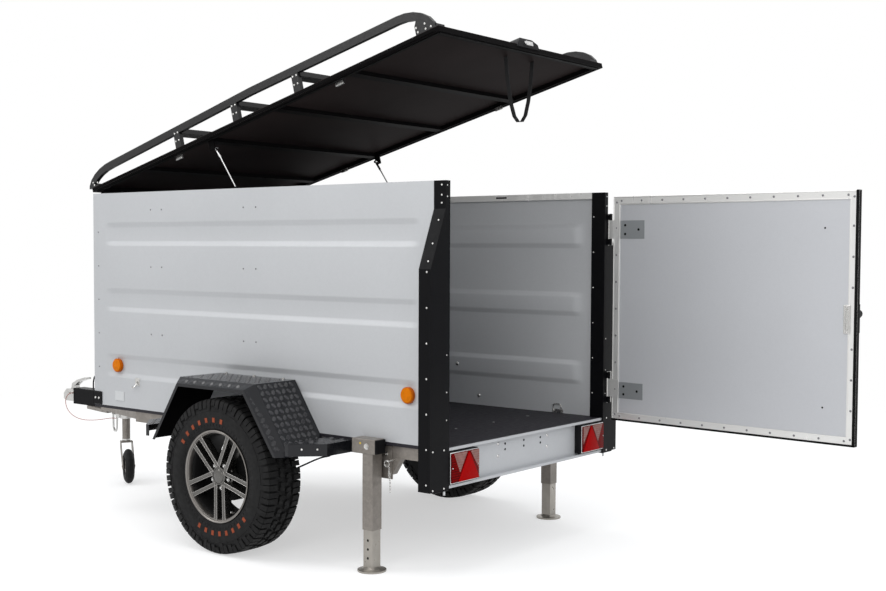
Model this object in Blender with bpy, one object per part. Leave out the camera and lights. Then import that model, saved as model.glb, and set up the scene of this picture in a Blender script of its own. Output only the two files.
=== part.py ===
# Single-axle box trailer with a lift-up lid, a side-hung rear door, a roof rack, a jockey wheel and prop legs.
# Metres. +X points to the coupling, +Y to the trailer's left, +Z up. Trailer coordinates have x = 0 at the
# rear end of the side walls and z = 0 on the ground. The root empty moves them to the middle of the part.
import math

import bmesh
import bpy
from mathutils import Matrix, Vector

for old in list(bpy.data.objects):
    bpy.data.objects.remove(old, do_unlink=True)

FIT = 0.0003                # gap between pieces that touch
CLEAR = 0.006               # running clearance between moving pieces

# Box
BOX_LENGTH = 2.42
BOX_WIDTH = 1.316           # over the side walls
WALL_BOTTOM = 0.576
WALL_TOP = 1.7235
WALL_SHEET = 0.0025
CHANNEL_DEPTH = 0.010
CHANNEL_END = 0.085         # from the wall's end to where a pressed channel starts
CHANNEL_RUNOUT = 0.085      # over this length it reaches its depth
CHANNEL_SLOPE = 0.033       # width of the slope on each side of a channel
CHANNEL_TABLE = (           # bottom, top of each pressed channel above the ground
    (0.730, 0.864),
    (1.084, 1.217),
    (1.437, 1.569),
)
FLOOR_BOARD = 0.015
TOP_RAIL_HEIGHT = 0.032
TOP_RAIL_WIDTH = 0.024

# Rear corner posts
POST_REAR = -0.040          # x of the posts' rear face
POST_SHEET = 0.003
POST_BOTTOM = 0.400
JAMB_WIDTH = 0.025          # from the wall's inner side to the clear opening
JAMB_DEPTH = 0.078
WING_REACH = 0.103          # from the wall's outer side to the wing's outer edge
WING_TOP = 1.347            # where the wing starts to slope in
WING_SLOPE_TOP = 1.603
WING_DEPTH = 0.065

# Rear sill and lamps
SILL_HEIGHT = 0.175
SILL_SHEET = 0.004
SILL_LIP = 0.012
SILL_SETBACK = 0.008        # from the posts' rear face to the sill's
LAMP_WIDTH = 0.206
LAMP_HEIGHT = 0.142
LAMP_DEPTH = 0.052
LAMP_FROM_POST = 0.001

# Floor frame
RAIL_HEIGHT = 0.055
RAIL_WIDTH = 0.045
RAIL_SHEET = 0.004
RAIL_INSET = 0.012          # from the wall's outer side to the side rail
RAIL_SETBACK = 0.340        # from the box's front to where the side rails stop
CROSS_WIDTH = 0.050
CROSS_HEIGHT = 0.053
CROSS_SHARES = (0.124, 0.355, 0.603, 0.843)    # x of each cross member's middle, over the box's length

# Drawbar
ARM_HEIGHT = 0.080
ARM_WIDTH = 0.050
ARM_SETBACK = 0.960         # from the box's front to the arms' rear ends
ARM_REAR_Y = 0.480
ARM_REACH = 0.720           # from the box's front to the arms' front ends
ARM_FRONT_Y = 0.070
DRAW_PLATE = 0.020          # thickness of the plate that ties the arms' front ends
DRAW_PLATE_LENGTH = 0.280
BEAM_WIDTH = 0.080
BEAM_HEIGHT = 0.100
BEAM_START = 0.600          # from the box's front to the beam's rear end
BEAM_REACH = 1.090          # and to its front end
BEAM_SHEET = 0.005
HEAD_HALF_WIDTH = 0.036
COUPLING_LENGTH = 0.110     # ahead of the beam

# Axle and wheels
AXLE_SETBACK = 1.320        # from the box's front to the wheel centres
TYRE_DIAMETER = 0.733
TYRE_WIDTH = 0.215
TYRE_SIDE_HEIGHT = 0.149    # from the rim's flange to the tread
TYRE_OUTSET = 0.187         # from the wall's outer side to the tyre's middle
LUG_COUNT = 36
LUG_HEIGHT = 0.011
LUG_SHARE = 0.62            # of each pitch
RIM_WIDTH = 0.190
RIM_STEPS = 40
SPOKE_PAIRS = 5
AXLE_TUBE = 0.080
AXLE_LEAD = 0.170           # the axle tube lies this far ahead of the wheel centre
AXLE_DROP = 0.0989          # and this far below the side rails
STUB_DIAMETER = 0.040
DRUM_DIAMETER = 0.250
DRUM_WIDTH = 0.055

# Fenders and steps
FENDER_SHEET = 0.003
FENDER_REACH = 0.112        # from the tyre's middle to the outer edge
FENDER_LIP = 0.022
FENDER_RISE = 0.059         # from the tyre's top to the fender's
FENDER_BOTTOM = 0.500
FENDER_REAR = (0.0815, -0.1325)            # how far its lower and upper corners reach past the tyre
FENDER_FRONT = (0.1115, -0.0775)
FENDER_FALL = 0.022         # how much lower the outer edge is than the wall's side
STEP_TOP = 0.566
STEP_PLATE = 0.003
STEP_BAR = 0.055            # height of the step's edge bar
STEP_REACH = 0.150          # from the fender to the step's far edge
REAR_FOOT = 0.063           # from the rear step to the end of its foot, just short of the leg's head
STEP_CHAMFER = 0.130

# Prop legs
LEG_OUTSET = 0.047          # from the wall's outer side to the leg's middle
LEG_OUTER = 0.060
LEG_WALL = 0.003
LEG_HEAD_TOP = 0.592
LEG_HEAD_HEIGHT = 0.066
LEG_HEAD_BACK = 0.045       # from the leg's middle
LEG_HEAD_AHEAD = 0.090
LEG_HEAD_HALF = 0.036
LEG_OUTER_BOTTOM = 0.186
LEG_TRAVEL = 0.120
FOOT_DIAMETER = 0.130
LEG_PLATE = 0.005

# Jockey wheel
JOCKEY_REACH = 0.535        # from the box's front to the column
JOCKEY_Y = 0.050
JOCKEY_TUBE = 0.048
JOCKEY_TUBE_BOTTOM = 0.245
JOCKEY_TUBE_TOP = 0.760
JOCKEY_TRAIL = 0.100
JOCKEY_TURN = -30.0         # how far the fork is turned at rest
JOCKEY_WHEEL = 0.208
JOCKEY_WHEEL_WIDTH = 0.052
JOCKEY_TRAVEL = 0.075
CRANK_REACH = 0.130

# Rear door, modelled shut and turned open about its hinge
DOOR_THICK = 0.026
DOOR_GAP = 0.0085           # between the posts' rear face and the shut door
DOOR_HINGE_X = -0.053
DOOR_HINGE_OUT = 0.010      # from the wall's outer side to the hinge
DOOR_SIDE_INSET = 0.008     # from the wall's outer side to the door's edge
DOOR_BOTTOM = 0.566
DOOR_TOP_DROP = 0.0215      # from the wall's top to the door's
DOOR_BORDER = 0.042         # width of the door's frame
DOOR_PANEL = 0.020
DOOR_OPEN = 86.0
HINGE_BARREL = 0.014
HINGE_LEAF = 0.0027
HINGE_TABLE = (             # bottom, top of the whole hinge and of the door's knuckle
    (0.651, 0.811, 0.685, 0.775),
    (1.456, 1.616, 1.490, 1.582),
)
LATCH_Z = 1.135

# Lid, modelled shut and turned open about its front hinge
LID_HINGE_AHEAD = 0.0065    # of the box's front
LID_HINGE_RISE = 0.006      # above the walls
LID_REAR_OVER = 0.0795      # how far the shut lid reaches past the walls' rear ends
LID_SIDE_OVER = 0.002       # and past their outer sides
LID_THICK = 0.024
LID_FRAME = 0.040
LID_SKIN = 0.002
LID_OPEN = 14.45
LID_HINGE_BARREL = 0.010
LID_BRACE_SHARES = (0.1676, 0.3711, 0.5746, 0.7781)    # place of each brace behind the hinge, over the length
LID_LATCH_HALF = 0.082
LID_LATCH_DEPTH = 0.080
LID_LATCH_HEIGHT = 0.035
STRAP_WIDTH = 0.022
STRAP_THICK = 0.0018
STRAP_INSET = 0.2145        # from the lid's length to the strap's place behind the hinge, in the open pose
STRAP_TABLE = (             # y of the pull strap's loop, and its height above the open lid's underside there
    (-0.006, 0.040), (-0.010, -0.010), (-0.022, -0.080), (-0.050, -0.190), (-0.080, -0.252), (-0.112, -0.276),
    (-0.142, -0.273), (-0.172, -0.240), (-0.196, -0.170), (-0.214, -0.080), (-0.223, -0.010), (-0.226, 0.040),
)

# Roof rack on the lid, measured behind the hinge and above the lid's underside
RACK_HIGH = 0.036
RACK_WIDE = 0.022
RACK_INSET = 0.012          # from the lid's side to the rail's middle
RACK_FRONT_CURVE = 0.200    # length of the rail's front curve
RACK_REAR_CURVE = 0.180     # and of its rear curve
RACK_RISES = (0.102, 0.120, 0.130, 0.126)     # height of the rail's middle between its curves
RACK_RUNS = (0.200, 0.950, 1.330, 2.290)      # and its distance behind the hinge there
RACK_BAR_TABLE = (0.755, 1.200, 1.635)        # distance of each cross bar behind the hinge
GUSSET = ((2.378, 0.020), (2.378, 0.064), (2.392, 0.088), (2.412, 0.088), (2.447, 0.052), (2.470, 0.020))

# Gas struts in the lid's open pose
STRUT_INSET = 0.058         # from the wall's outer side
STRUT_EYE_BACK = 0.940      # the upper eye behind the lid's hinge, in the open pose
STRUT_EYE_RISE = 0.2055
STRUT_BASE_BACK = 1.2605    # the lower stud behind the lid's hinge
STRUT_BASE_Z = 1.500
STRUT_TUBE = 0.020
STRUT_ROD = 0.008
STRUT_TUBE_LENGTH = 0.290
STRUT_EYE = 0.016
STRUT_STUD = 0.008

HALF_WIDTH = BOX_WIDTH / 2
WING_OUT = HALF_WIDTH + WING_REACH
RAIL_FRONT_X = BOX_LENGTH - RAIL_SETBACK
ARM_REAR_X = BOX_LENGTH - ARM_SETBACK
ARM_FRONT_X = BOX_LENGTH + ARM_REACH
BEAM_REAR_X = BOX_LENGTH + BEAM_START
BEAM_FRONT_X = BOX_LENGTH + BEAM_REACH
COUPLING_NOSE_X = BEAM_FRONT_X + COUPLING_LENGTH
AXLE_X = BOX_LENGTH - AXLE_SETBACK
TYRE_Y = HALF_WIDTH + TYRE_OUTSET
RIM_DIAMETER = TYRE_DIAMETER - 2 * TYRE_SIDE_HEIGHT
FENDER_OUT = TYRE_Y + FENDER_REACH
LEG_Y = HALF_WIDTH + LEG_OUTSET
JOCKEY_X = BOX_LENGTH + JOCKEY_REACH
DOOR_HINGE_Y = -HALF_WIDTH - DOOR_HINGE_OUT
DOOR_WIDTH = BOX_WIDTH - 2 * DOOR_SIDE_INSET
DOOR_EDGE_Y = -DOOR_WIDTH / 2
DOOR_TOP = WALL_TOP - DOOR_TOP_DROP
LID_HINGE_X = BOX_LENGTH + LID_HINGE_AHEAD
LID_HINGE_Z = WALL_TOP + LID_HINGE_RISE
LID_LENGTH = LID_HINGE_X + LID_REAR_OVER
LID_WIDTH = BOX_WIDTH + 2 * LID_SIDE_OVER
RACK_Y = LID_WIDTH / 2 - RACK_INSET
STRUT_Y = HALF_WIDTH - STRUT_INSET
STRUT_BASE_X = LID_HINGE_X - STRUT_BASE_BACK
INNER_WALL = HALF_WIDTH - WALL_SHEET
CLEAR_HALF = INNER_WALL - JAMB_WIDTH
FLOOR_TOP = WALL_BOTTOM - FIT
AXLE_Z = TYRE_DIAMETER / 2
RAIL_TOP = FLOOR_TOP - FLOOR_BOARD - FIT
RAIL_BOTTOM = RAIL_TOP - RAIL_HEIGHT
RAIL_OUTER = HALF_WIDTH - RAIL_INSET
ARM_TOP = RAIL_BOTTOM - FIT
ARM_BOTTOM = ARM_TOP - ARM_HEIGHT
BEAM_BOTTOM = ARM_BOTTOM + 0.005
POST_FRONT = POST_REAR + JAMB_DEPTH
DOOR_INNER_X = POST_REAR - DOOR_GAP
DOOR_OUTER_X = DOOR_INNER_X - DOOR_THICK
DOOR_TURN = math.radians(DOOR_OPEN)
DOOR_FAR_SPAN = DOOR_EDGE_Y + DOOR_WIDTH - DOOR_HINGE_Y
REAR_END = (DOOR_HINGE_X - DOOR_FAR_SPAN * math.sin(DOOR_TURN)
            + (DOOR_OUTER_X - DOOR_HINGE_X) * math.cos(DOOR_TURN))
MIDDLE_X = (REAR_END + COUPLING_NOSE_X) / 2

MATERIAL_TABLE = {          # name: colour, roughness, metallic
    "wall_sheet": ((0.56, 0.58, 0.60), 0.42, 0.85),
    "galvanised": ((0.50, 0.51, 0.50), 0.45, 0.90),
    "zinc": ((0.66, 0.66, 0.62), 0.32, 0.95),
    "black_steel": ((0.015, 0.015, 0.017), 0.45, 0.30),
    "black_plastic": ((0.020, 0.020, 0.022), 0.55, 0.0),
    "chequer": ((0.055, 0.058, 0.068), 0.35, 0.80),
    "floor_board": ((0.045, 0.038, 0.036), 0.75, 0.0),
    "rubber": ((0.022, 0.022, 0.024), 0.80, 0.0),
    "alloy": ((0.12, 0.12, 0.13), 0.28, 0.95),
    "lamp_red": ((0.55, 0.01, 0.01), 0.15, 0.0),
    "red_cable": ((0.50, 0.02, 0.02), 0.40, 0.0),
    "webbing": ((0.015, 0.015, 0.016), 0.90, 0.0),
}


def make_material(name):
    colour, roughness, metallic = MATERIAL_TABLE[name]
    material = bpy.data.materials.new(name)
    material.use_nodes = True
    shader = material.node_tree.nodes["Principled BSDF"]
    shader.inputs["Base Color"].default_value = (*colour, 1.0)
    shader.inputs["Roughness"].default_value = roughness
    shader.inputs["Metallic"].default_value = metallic
    material.diffuse_color = (*colour, 1.0)
    return material


MATERIALS = {name: make_material(name) for name in MATERIAL_TABLE}


def empty(name, parent, location, rotation=(0.0, 0.0, 0.0)):
    axis = bpy.data.objects.new(name, None)
    bpy.context.scene.collection.objects.link(axis)
    axis.parent = parent
    axis.location = location
    axis.rotation_euler = rotation
    return axis


ROOT = empty("root_frame", None, (-MIDDLE_X, 0, 0))


def node(name, shape, material, body=None, pivot=(0, 0, 0), smooth=30):
    """One named solid from a bmesh in trailer coordinates, carried by a body's empty at its pivot."""
    bmesh.ops.remove_doubles(shape, verts=shape.verts, dist=0.00001)
    bmesh.ops.recalc_face_normals(shape, faces=shape.faces)
    bmesh.ops.translate(shape, verts=shape.verts, vec=-Vector(pivot))
    mesh = bpy.data.meshes.new(name)
    shape.to_mesh(mesh)
    shape.free()
    mesh.shade_smooth()
    mesh.set_sharp_from_angle(angle=math.radians(smooth))
    mesh.materials.append(MATERIALS[material])
    piece = bpy.data.objects.new(name, mesh)
    bpy.context.scene.collection.objects.link(piece)
    piece.parent = body or ROOT
    return piece


def cable(name, route, diameter, material, body=None, pivot=(0, 0, 0), sides=2, spacing=2.5):
    """A free cable along a smooth curve through the route's points, as a round tube with closed ends."""
    points = [Vector(p) - Vector(pivot) for p in route]
    padded = [2 * points[0] - points[1], *points, 2 * points[-1] - points[-2]]
    line = []
    for a, b, c, d in zip(padded, padded[1:], padded[2:], padded[3:]):
        steps = max(1, round((c - b).length / (spacing * diameter)))
        for k in range(steps):
            t = k / steps
            line.append(0.5 * (2 * b + (c - a) * t + (2 * a - 5 * b + 4 * c - d) * t * t
                               + (3 * b - a - 3 * c + d) * t * t * t))
    line.append(points[-1])
    curve = bpy.data.curves.new(name, "CURVE")
    curve.dimensions = "3D"
    curve.bevel_depth = diameter / 2
    curve.bevel_resolution = sides
    curve.use_fill_caps = True
    spline = curve.splines.new("POLY")
    spline.points.add(len(line) - 1)
    for point, at in zip(spline.points, line):
        point.co = (*at, 1.0)
    curve.materials.append(MATERIALS[material])
    piece = bpy.data.objects.new(name, curve)
    bpy.context.scene.collection.objects.link(piece)
    piece.parent = body or ROOT
    return piece


def prism(outline, axis, low, high):
    """A polygon swept along one axis. The outline holds (y, z), (x, z) or (x, y) pairs."""
    shape = bmesh.new()
    along = "xyz".index(axis)
    others = [i for i in range(3) if i != along]
    rings = []
    for at in (low, high):
        ring = []
        for pair in outline:
            point = [0.0, 0.0, 0.0]
            point[along] = at
            point[others[0]], point[others[1]] = pair
            ring.append(shape.verts.new(point))
        rings.append(ring)
    shape.faces.new(rings[0])
    shape.faces.new(rings[1])
    for i in range(len(outline)):
        j = (i + 1) % len(outline)
        shape.faces.new((rings[0][i], rings[0][j], rings[1][j], rings[1][i]))
    bmesh.ops.recalc_face_normals(shape, faces=shape.faces)
    return shape


def block(low, high, bevel=0.0):
    """A box between two corners, with its edges taken off by one cut."""
    shape = bmesh.new()
    bmesh.ops.create_cube(shape, size=1.0)
    size = [b - a for a, b in zip(low, high)]
    middle = [(a + b) / 2 for a, b in zip(low, high)]
    bmesh.ops.scale(shape, verts=shape.verts, vec=size)
    bmesh.ops.translate(shape, verts=shape.verts, vec=middle)
    if bevel:
        bmesh.ops.bevel(shape, geom=shape.edges[:], offset=bevel, segments=1, affect="EDGES")
    return shape


def hull(points):
    """The smallest convex solid round the points."""
    shape = bmesh.new()
    for point in points:
        shape.verts.new(point)
    bmesh.ops.convex_hull(shape, input=shape.verts)
    bmesh.ops.recalc_face_normals(shape, faces=shape.faces)
    return shape


def lathe(profile, axis, centre, steps, turns=None, skew=None):
    """A closed profile of (radius, along) pairs turned about an axis through centre.

    turns may list the angle of each step, and skew the extra angle of each profile point.
    """
    shape = bmesh.new()
    along = "xyz".index(axis)
    first = (along + 1) % 3
    second = (along + 2) % 3
    turns = turns or [2 * math.pi * k / steps for k in range(steps)]
    skew = skew or [0.0] * len(profile)
    rings = []
    for turn in turns:
        ring = []
        for (radius, at), extra in zip(profile, skew):
            point = [0.0, 0.0, 0.0]
            point[along] = centre[along] + at
            point[first] = centre[first] + radius * math.cos(turn + extra)
            point[second] = centre[second] + radius * math.sin(turn + extra)
            ring.append(shape.verts.new(point))
        rings.append(ring)
    count = len(profile)
    for k in range(len(turns)):
        here = rings[k]
        there = rings[(k + 1) % len(turns)]
        for i in range(count):
            j = (i + 1) % count
            shape.faces.new((here[i], here[j], there[j], there[i]))
    bmesh.ops.recalc_face_normals(shape, faces=shape.faces)
    return shape


def rod(start, end, diameter, sides=16):
    """A round bar between two points."""
    start, end = Vector(start), Vector(end)
    span = end - start
    shape = bmesh.new()
    turn = span.to_track_quat("Z", "Y").to_matrix().to_4x4()
    place = Matrix.Translation((start + end) / 2) @ turn
    bmesh.ops.create_cone(shape, cap_ends=True, segments=sides, radius1=diameter / 2,
                          radius2=diameter / 2, depth=span.length, matrix=place)
    return shape


def tube(start, end, outer, inner, sides=16):
    """A round pipe between two points, open at both ends."""
    start, end = Vector(start), Vector(end)
    length = (end - start).length
    profile = ((inner / 2, 0), (outer / 2, 0), (outer / 2, length), (inner / 2, length))
    shape = lathe(profile, "z", (0, 0, 0), sides)
    turn = (end - start).to_track_quat("Z", "Y").to_matrix().to_4x4()
    bmesh.ops.transform(shape, verts=shape.verts, matrix=Matrix.Translation(start) @ turn)
    return shape


def beam(start, end, width, height, wall=0.0, up=(0, 0, 1)):
    """A rectangular bar or, with a wall, a box tube that is open at both ends."""
    start, end = Vector(start), Vector(end)
    along = (end - start).normalized()
    side = Vector(up).cross(along).normalized()
    top = along.cross(side)
    shape = bmesh.new()
    corners = ((-1, -1), (1, -1), (1, 1), (-1, 1))
    loops = []
    for shrink in ((0.0, wall) if wall else (0.0,)):
        for at in (start, end):
            loops.append([shape.verts.new(at + side * a * (width / 2 - shrink)
                                          + top * b * (height / 2 - shrink)) for a, b in corners])
    for i in range(4):
        j = (i + 1) % 4
        shape.faces.new((loops[0][i], loops[0][j], loops[1][j], loops[1][i]))
        if wall:
            shape.faces.new((loops[2][j], loops[2][i], loops[3][i], loops[3][j]))
            shape.faces.new((loops[0][j], loops[0][i], loops[2][i], loops[2][j]))
            shape.faces.new((loops[1][i], loops[1][j], loops[3][j], loops[3][i]))
    if not wall:
        shape.faces.new(loops[0][::-1])
        shape.faces.new(loops[1])
    bmesh.ops.recalc_face_normals(shape, faces=shape.faces)
    return shape


def as_object(shape):
    mesh = bpy.data.meshes.new("helper")
    shape.to_mesh(mesh)
    shape.free()
    helper = bpy.data.objects.new("helper", mesh)
    bpy.context.scene.collection.objects.link(helper)
    return helper


def combine(base, others, operation="UNION"):
    """The exact Boolean of a bmesh with others, as a new bmesh."""
    holder = as_object(base)
    helpers = []
    for other in others:
        helper = as_object(other)
        modifier = holder.modifiers.new("combine", "BOOLEAN")
        modifier.operation = operation
        modifier.object = helper
        helpers.append(helper)
    graph = bpy.context.evaluated_depsgraph_get()
    result = bmesh.new()
    result.from_mesh(holder.evaluated_get(graph).to_mesh())
    for helper in (holder, *helpers):
        mesh = helper.data
        bpy.data.objects.remove(helper, do_unlink=True)
        bpy.data.meshes.remove(mesh)
    return result


def union(base, *others):
    return combine(base, others)


def cut(base, *others):
    return combine(base, others, "DIFFERENCE")


def mirrored(shape, side):
    """The shape on the left for side 1, and its mirror image on the right for side -1."""
    if side < 0:
        bmesh.ops.scale(shape, verts=shape.verts, vec=(1, -1, 1))
        bmesh.ops.reverse_faces(shape, faces=shape.faces)
    return shape


SIDES = (("left", 1), ("right", -1))


def pressed_sheet(length_low, length_high, bottom, top, face, inward, along, channels=CHANNEL_TABLE):
    """A wall sheet with channels pressed inwards, closed off before the sheet's two ends."""
    columns = [(length_low, 0.0), (length_low + CHANNEL_END, 0.0),
               (length_low + CHANNEL_END + CHANNEL_RUNOUT, 1.0),
               (length_high - CHANNEL_END - CHANNEL_RUNOUT, 1.0),
               (length_high - CHANNEL_END, 0.0), (length_high, 0.0)]
    rows = [(bottom, 0.0)]
    for low, high in channels:
        rows += [(low, 0.0), (low + CHANNEL_SLOPE, 1.0), (high - CHANNEL_SLOPE, 1.0), (high, 0.0)]
    rows.append((top, 0.0))
    shape = bmesh.new()
    grids = []
    for layer in (0.0, WALL_SHEET):
        grid = []
        for height, deep_row in rows:
            line = []
            for run, deep_column in columns:
                across = face + inward * (layer + CHANNEL_DEPTH * deep_row * deep_column)
                point = (run, across, height) if along == "x" else (across, run, height)
                line.append(shape.verts.new(point))
            grid.append(line)
        grids.append(grid)
    for grid in grids:
        for r in range(len(rows) - 1):
            for c in range(len(columns) - 1):
                shape.faces.new((grid[r][c], grid[r][c + 1], grid[r + 1][c + 1], grid[r + 1][c]))
    outer, inner = grids
    for r in range(len(rows) - 1):
        for c in (0, len(columns) - 1):
            shape.faces.new((outer[r][c], outer[r + 1][c], inner[r + 1][c], inner[r][c]))
    for c in range(len(columns) - 1):
        for r in (0, len(rows) - 1):
            shape.faces.new((outer[r][c], outer[r][c + 1], inner[r][c + 1], inner[r][c]))
    bmesh.ops.recalc_face_normals(shape, faces=shape.faces)
    return shape


# Gas strut geometry, shared by the walls, the lid and the struts
STRUT_BASE = Vector((STRUT_BASE_X, 0, STRUT_BASE_Z))
STRUT_TOP = Vector((LID_HINGE_X - STRUT_EYE_BACK, 0, LID_HINGE_Z + STRUT_EYE_RISE))
STRUT_RUN = (STRUT_TOP - STRUT_BASE).normalized()
STUD_FACE = STRUT_Y + STRUT_EYE / 2 + FIT

# Box: side walls with a strut bracket, front wall, top rail and floor
for label, side in SIDES:
    wall = pressed_sheet(0.0, BOX_LENGTH, WALL_BOTTOM, WALL_TOP, HALF_WIDTH, -1, "x")
    channel_face = INNER_WALL - CHANNEL_DEPTH
    plate = block((STRUT_BASE_X - 0.030, channel_face - 0.004, STRUT_BASE_Z - 0.030),
                  (STRUT_BASE_X + 0.030, channel_face + 0.001, STRUT_BASE_Z + 0.040))
    stud = rod((STRUT_BASE_X, STUD_FACE, STRUT_BASE_Z), (STRUT_BASE_X, channel_face - 0.002, STRUT_BASE_Z),
               STRUT_STUD, 12)
    node(f"side_wall_{label}", mirrored(union(wall, plate, stud), side), "wall_sheet")
front = pressed_sheet(-INNER_WALL + FIT, INNER_WALL - FIT, WALL_BOTTOM, WALL_TOP, BOX_LENGTH, -1, "y")
node("front_wall", front, "wall_sheet")
rail_out = INNER_WALL - FIT
rail_in = rail_out - TOP_RAIL_WIDTH
rail_front = BOX_LENGTH - WALL_SHEET - FIT
rail_rear = POST_FRONT + FIT
rail_outline = [(rail_rear, rail_out), (rail_front, rail_out), (rail_front, -rail_out), (rail_rear, -rail_out),
                (rail_rear, -rail_in), (rail_front - TOP_RAIL_WIDTH, -rail_in),
                (rail_front - TOP_RAIL_WIDTH, rail_in), (rail_rear, rail_in)]
node("top_rail", prism(rail_outline, "z", WALL_TOP - TOP_RAIL_HEIGHT, WALL_TOP), "wall_sheet")
floor_outline = [(0.002, CLEAR_HALF - FIT), (POST_FRONT + FIT, CLEAR_HALF - FIT), (POST_FRONT + FIT, HALF_WIDTH),
                 (BOX_LENGTH, HALF_WIDTH)]
floor_outline += [(x, -y) for x, y in reversed(floor_outline)]
node("floor_board", prism(floor_outline, "z", FLOOR_TOP - FLOOR_BOARD, FLOOR_TOP), "floor_board")

# Lid hinge: a leaf on the front wall with its knuckles on the lid's axis
LEAF_HALF = HALF_WIDTH - 0.058
KNUCKLE = LEAF_HALF / 2.5
KNUCKLE_TABLE = (           # y range of each knuckle, and whether the lid carries it
    (-2.5 * KNUCKLE, -1.5 * KNUCKLE, False),
    (-1.5 * KNUCKLE, -0.5 * KNUCKLE, True),
    (-0.5 * KNUCKLE, 0.5 * KNUCKLE, False),
    (0.5 * KNUCKLE, 1.5 * KNUCKLE, True),
    (1.5 * KNUCKLE, 2.5 * KNUCKLE, False),
)


def knuckles(on_lid):
    return [rod((LID_HINGE_X, low + FIT, LID_HINGE_Z), (LID_HINGE_X, high - FIT, LID_HINGE_Z),
                LID_HINGE_BARREL, 12) for low, high, lid in KNUCKLE_TABLE if lid == on_lid]


hinge_back = BOX_LENGTH + FIT
leaf = block((hinge_back, -LEAF_HALF + FIT, WALL_TOP - 0.060),
             (hinge_back + 0.004, LEAF_HALF - FIT, WALL_TOP - 0.004))
webs = [block((hinge_back, low + FIT, WALL_TOP - 0.010), (hinge_back + 0.004, high - FIT, LID_HINGE_Z))
        for low, high, lid in KNUCKLE_TABLE if not lid]
node("lid_hinge", union(leaf, *webs, *knuckles(False)), "black_steel")

# Rear corner posts: a jamb, a rear face that widens into a wing, and a flange that follows the wing's edge
POST_TOP = WALL_TOP
STRIP_IN = HALF_WIDTH + FIT
STRIP_OUT = STRIP_IN + POST_SHEET
for label, side in SIDES:
    rear_face = prism(((CLEAR_HALF, POST_BOTTOM), (WING_OUT, POST_BOTTOM), (WING_OUT, WING_TOP),
                       (STRIP_OUT, WING_SLOPE_TOP), (STRIP_OUT, POST_TOP), (CLEAR_HALF, POST_TOP)),
                      "x", POST_REAR, POST_REAR + POST_SHEET)
    inside = POST_REAR + POST_SHEET / 2
    flange = prism(((WING_OUT, POST_BOTTOM), (WING_OUT, WING_TOP), (STRIP_OUT, WING_SLOPE_TOP),
                    (STRIP_OUT, POST_TOP), (STRIP_IN, POST_TOP), (STRIP_IN, WING_SLOPE_TOP - POST_SHEET / 2),
                    (WING_OUT - POST_SHEET, WING_TOP - POST_SHEET / 2), (WING_OUT - POST_SHEET, POST_BOTTOM)),
                   "x", inside, POST_REAR + WING_DEPTH)
    jamb = block((inside, CLEAR_HALF, POST_BOTTOM), (POST_FRONT, CLEAR_HALF + POST_SHEET, POST_TOP))
    post = mirrored(union(rear_face, flange, jamb), side)
    if side < 0:
        barrels = []
        for low, high, leaf_low, leaf_high in HINGE_TABLE:
            for bottom, top in ((low, leaf_low - FIT), (leaf_high + FIT, high)):
                barrels.append(rod((DOOR_HINGE_X, DOOR_HINGE_Y, bottom), (DOOR_HINGE_X, DOOR_HINGE_Y, top),
                                   HINGE_BARREL, 12))
                barrels.append(block((DOOR_HINGE_X, DOOR_HINGE_Y - 0.005, bottom + 0.002),
                                     (POST_REAR + 0.001, DOOR_HINGE_Y + 0.005, top - 0.002)))
        post = union(post, *barrels)
    node(f"corner_post_{label}", post, "black_steel")

# Rear sill: a channel that opens to the rear, between the posts
sill_half = CLEAR_HALF - FIT
sill_rear = POST_REAR + SILL_SETBACK
sill_front = 0.0017
sill_bottom = FLOOR_TOP - SILL_HEIGHT
sill_outline = [(sill_front, FLOOR_TOP), (sill_front, sill_bottom), (sill_rear, sill_bottom),
                (sill_rear, sill_bottom + SILL_LIP), (sill_rear + SILL_SHEET, sill_bottom + SILL_LIP),
                (sill_rear + SILL_SHEET, sill_bottom + SILL_SHEET),
                (sill_front - SILL_SHEET, sill_bottom + SILL_SHEET),
                (sill_front - SILL_SHEET, FLOOR_TOP - SILL_SHEET), (sill_rear + SILL_SHEET, FLOOR_TOP - SILL_SHEET),
                (sill_rear + SILL_SHEET, FLOOR_TOP - SILL_LIP), (sill_rear, FLOOR_TOP - SILL_LIP),
                (sill_rear, FLOOR_TOP)]
node("rear_sill", prism(sill_outline, "y", -sill_half, sill_half), "wall_sheet")
lamp_front = sill_front - SILL_SHEET - FIT
for label, side in SIDES:
    lamp_out = sill_half - LAMP_FROM_POST
    lamp_low = sill_bottom + (SILL_HEIGHT - LAMP_HEIGHT) / 2
    lamp = block((lamp_front - LAMP_DEPTH, lamp_out - LAMP_WIDTH, lamp_low),
                 (lamp_front, lamp_out, lamp_low + LAMP_HEIGHT), 0.004)
    node(f"tail_lamp_{label}", mirrored(lamp, side), "lamp_red")

# Floor frame: C-section side rails and box cross members, welded
members = []
for label, side in SIDES:
    outline = ((RAIL_OUTER, RAIL_TOP), (RAIL_OUTER, RAIL_BOTTOM), (RAIL_OUTER - RAIL_WIDTH, RAIL_BOTTOM),
               (RAIL_OUTER - RAIL_WIDTH, RAIL_BOTTOM + RAIL_SHEET),
               (RAIL_OUTER - RAIL_SHEET, RAIL_BOTTOM + RAIL_SHEET),
               (RAIL_OUTER - RAIL_SHEET, RAIL_TOP - RAIL_SHEET),
               (RAIL_OUTER - RAIL_WIDTH, RAIL_TOP - RAIL_SHEET), (RAIL_OUTER - RAIL_WIDTH, RAIL_TOP))
    members.append(mirrored(prism(outline, "x", POST_FRONT + FIT, RAIL_FRONT_X), side))
cross_half = RAIL_OUTER - RAIL_SHEET / 2
cross_mid = RAIL_BOTTOM + CROSS_HEIGHT / 2
for share in CROSS_SHARES:
    at = share * BOX_LENGTH
    members.append(beam((at, -cross_half, cross_mid), (at, cross_half, cross_mid), CROSS_WIDTH, CROSS_HEIGHT))
node("floor_frame", union(*members), "galvanised")

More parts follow.
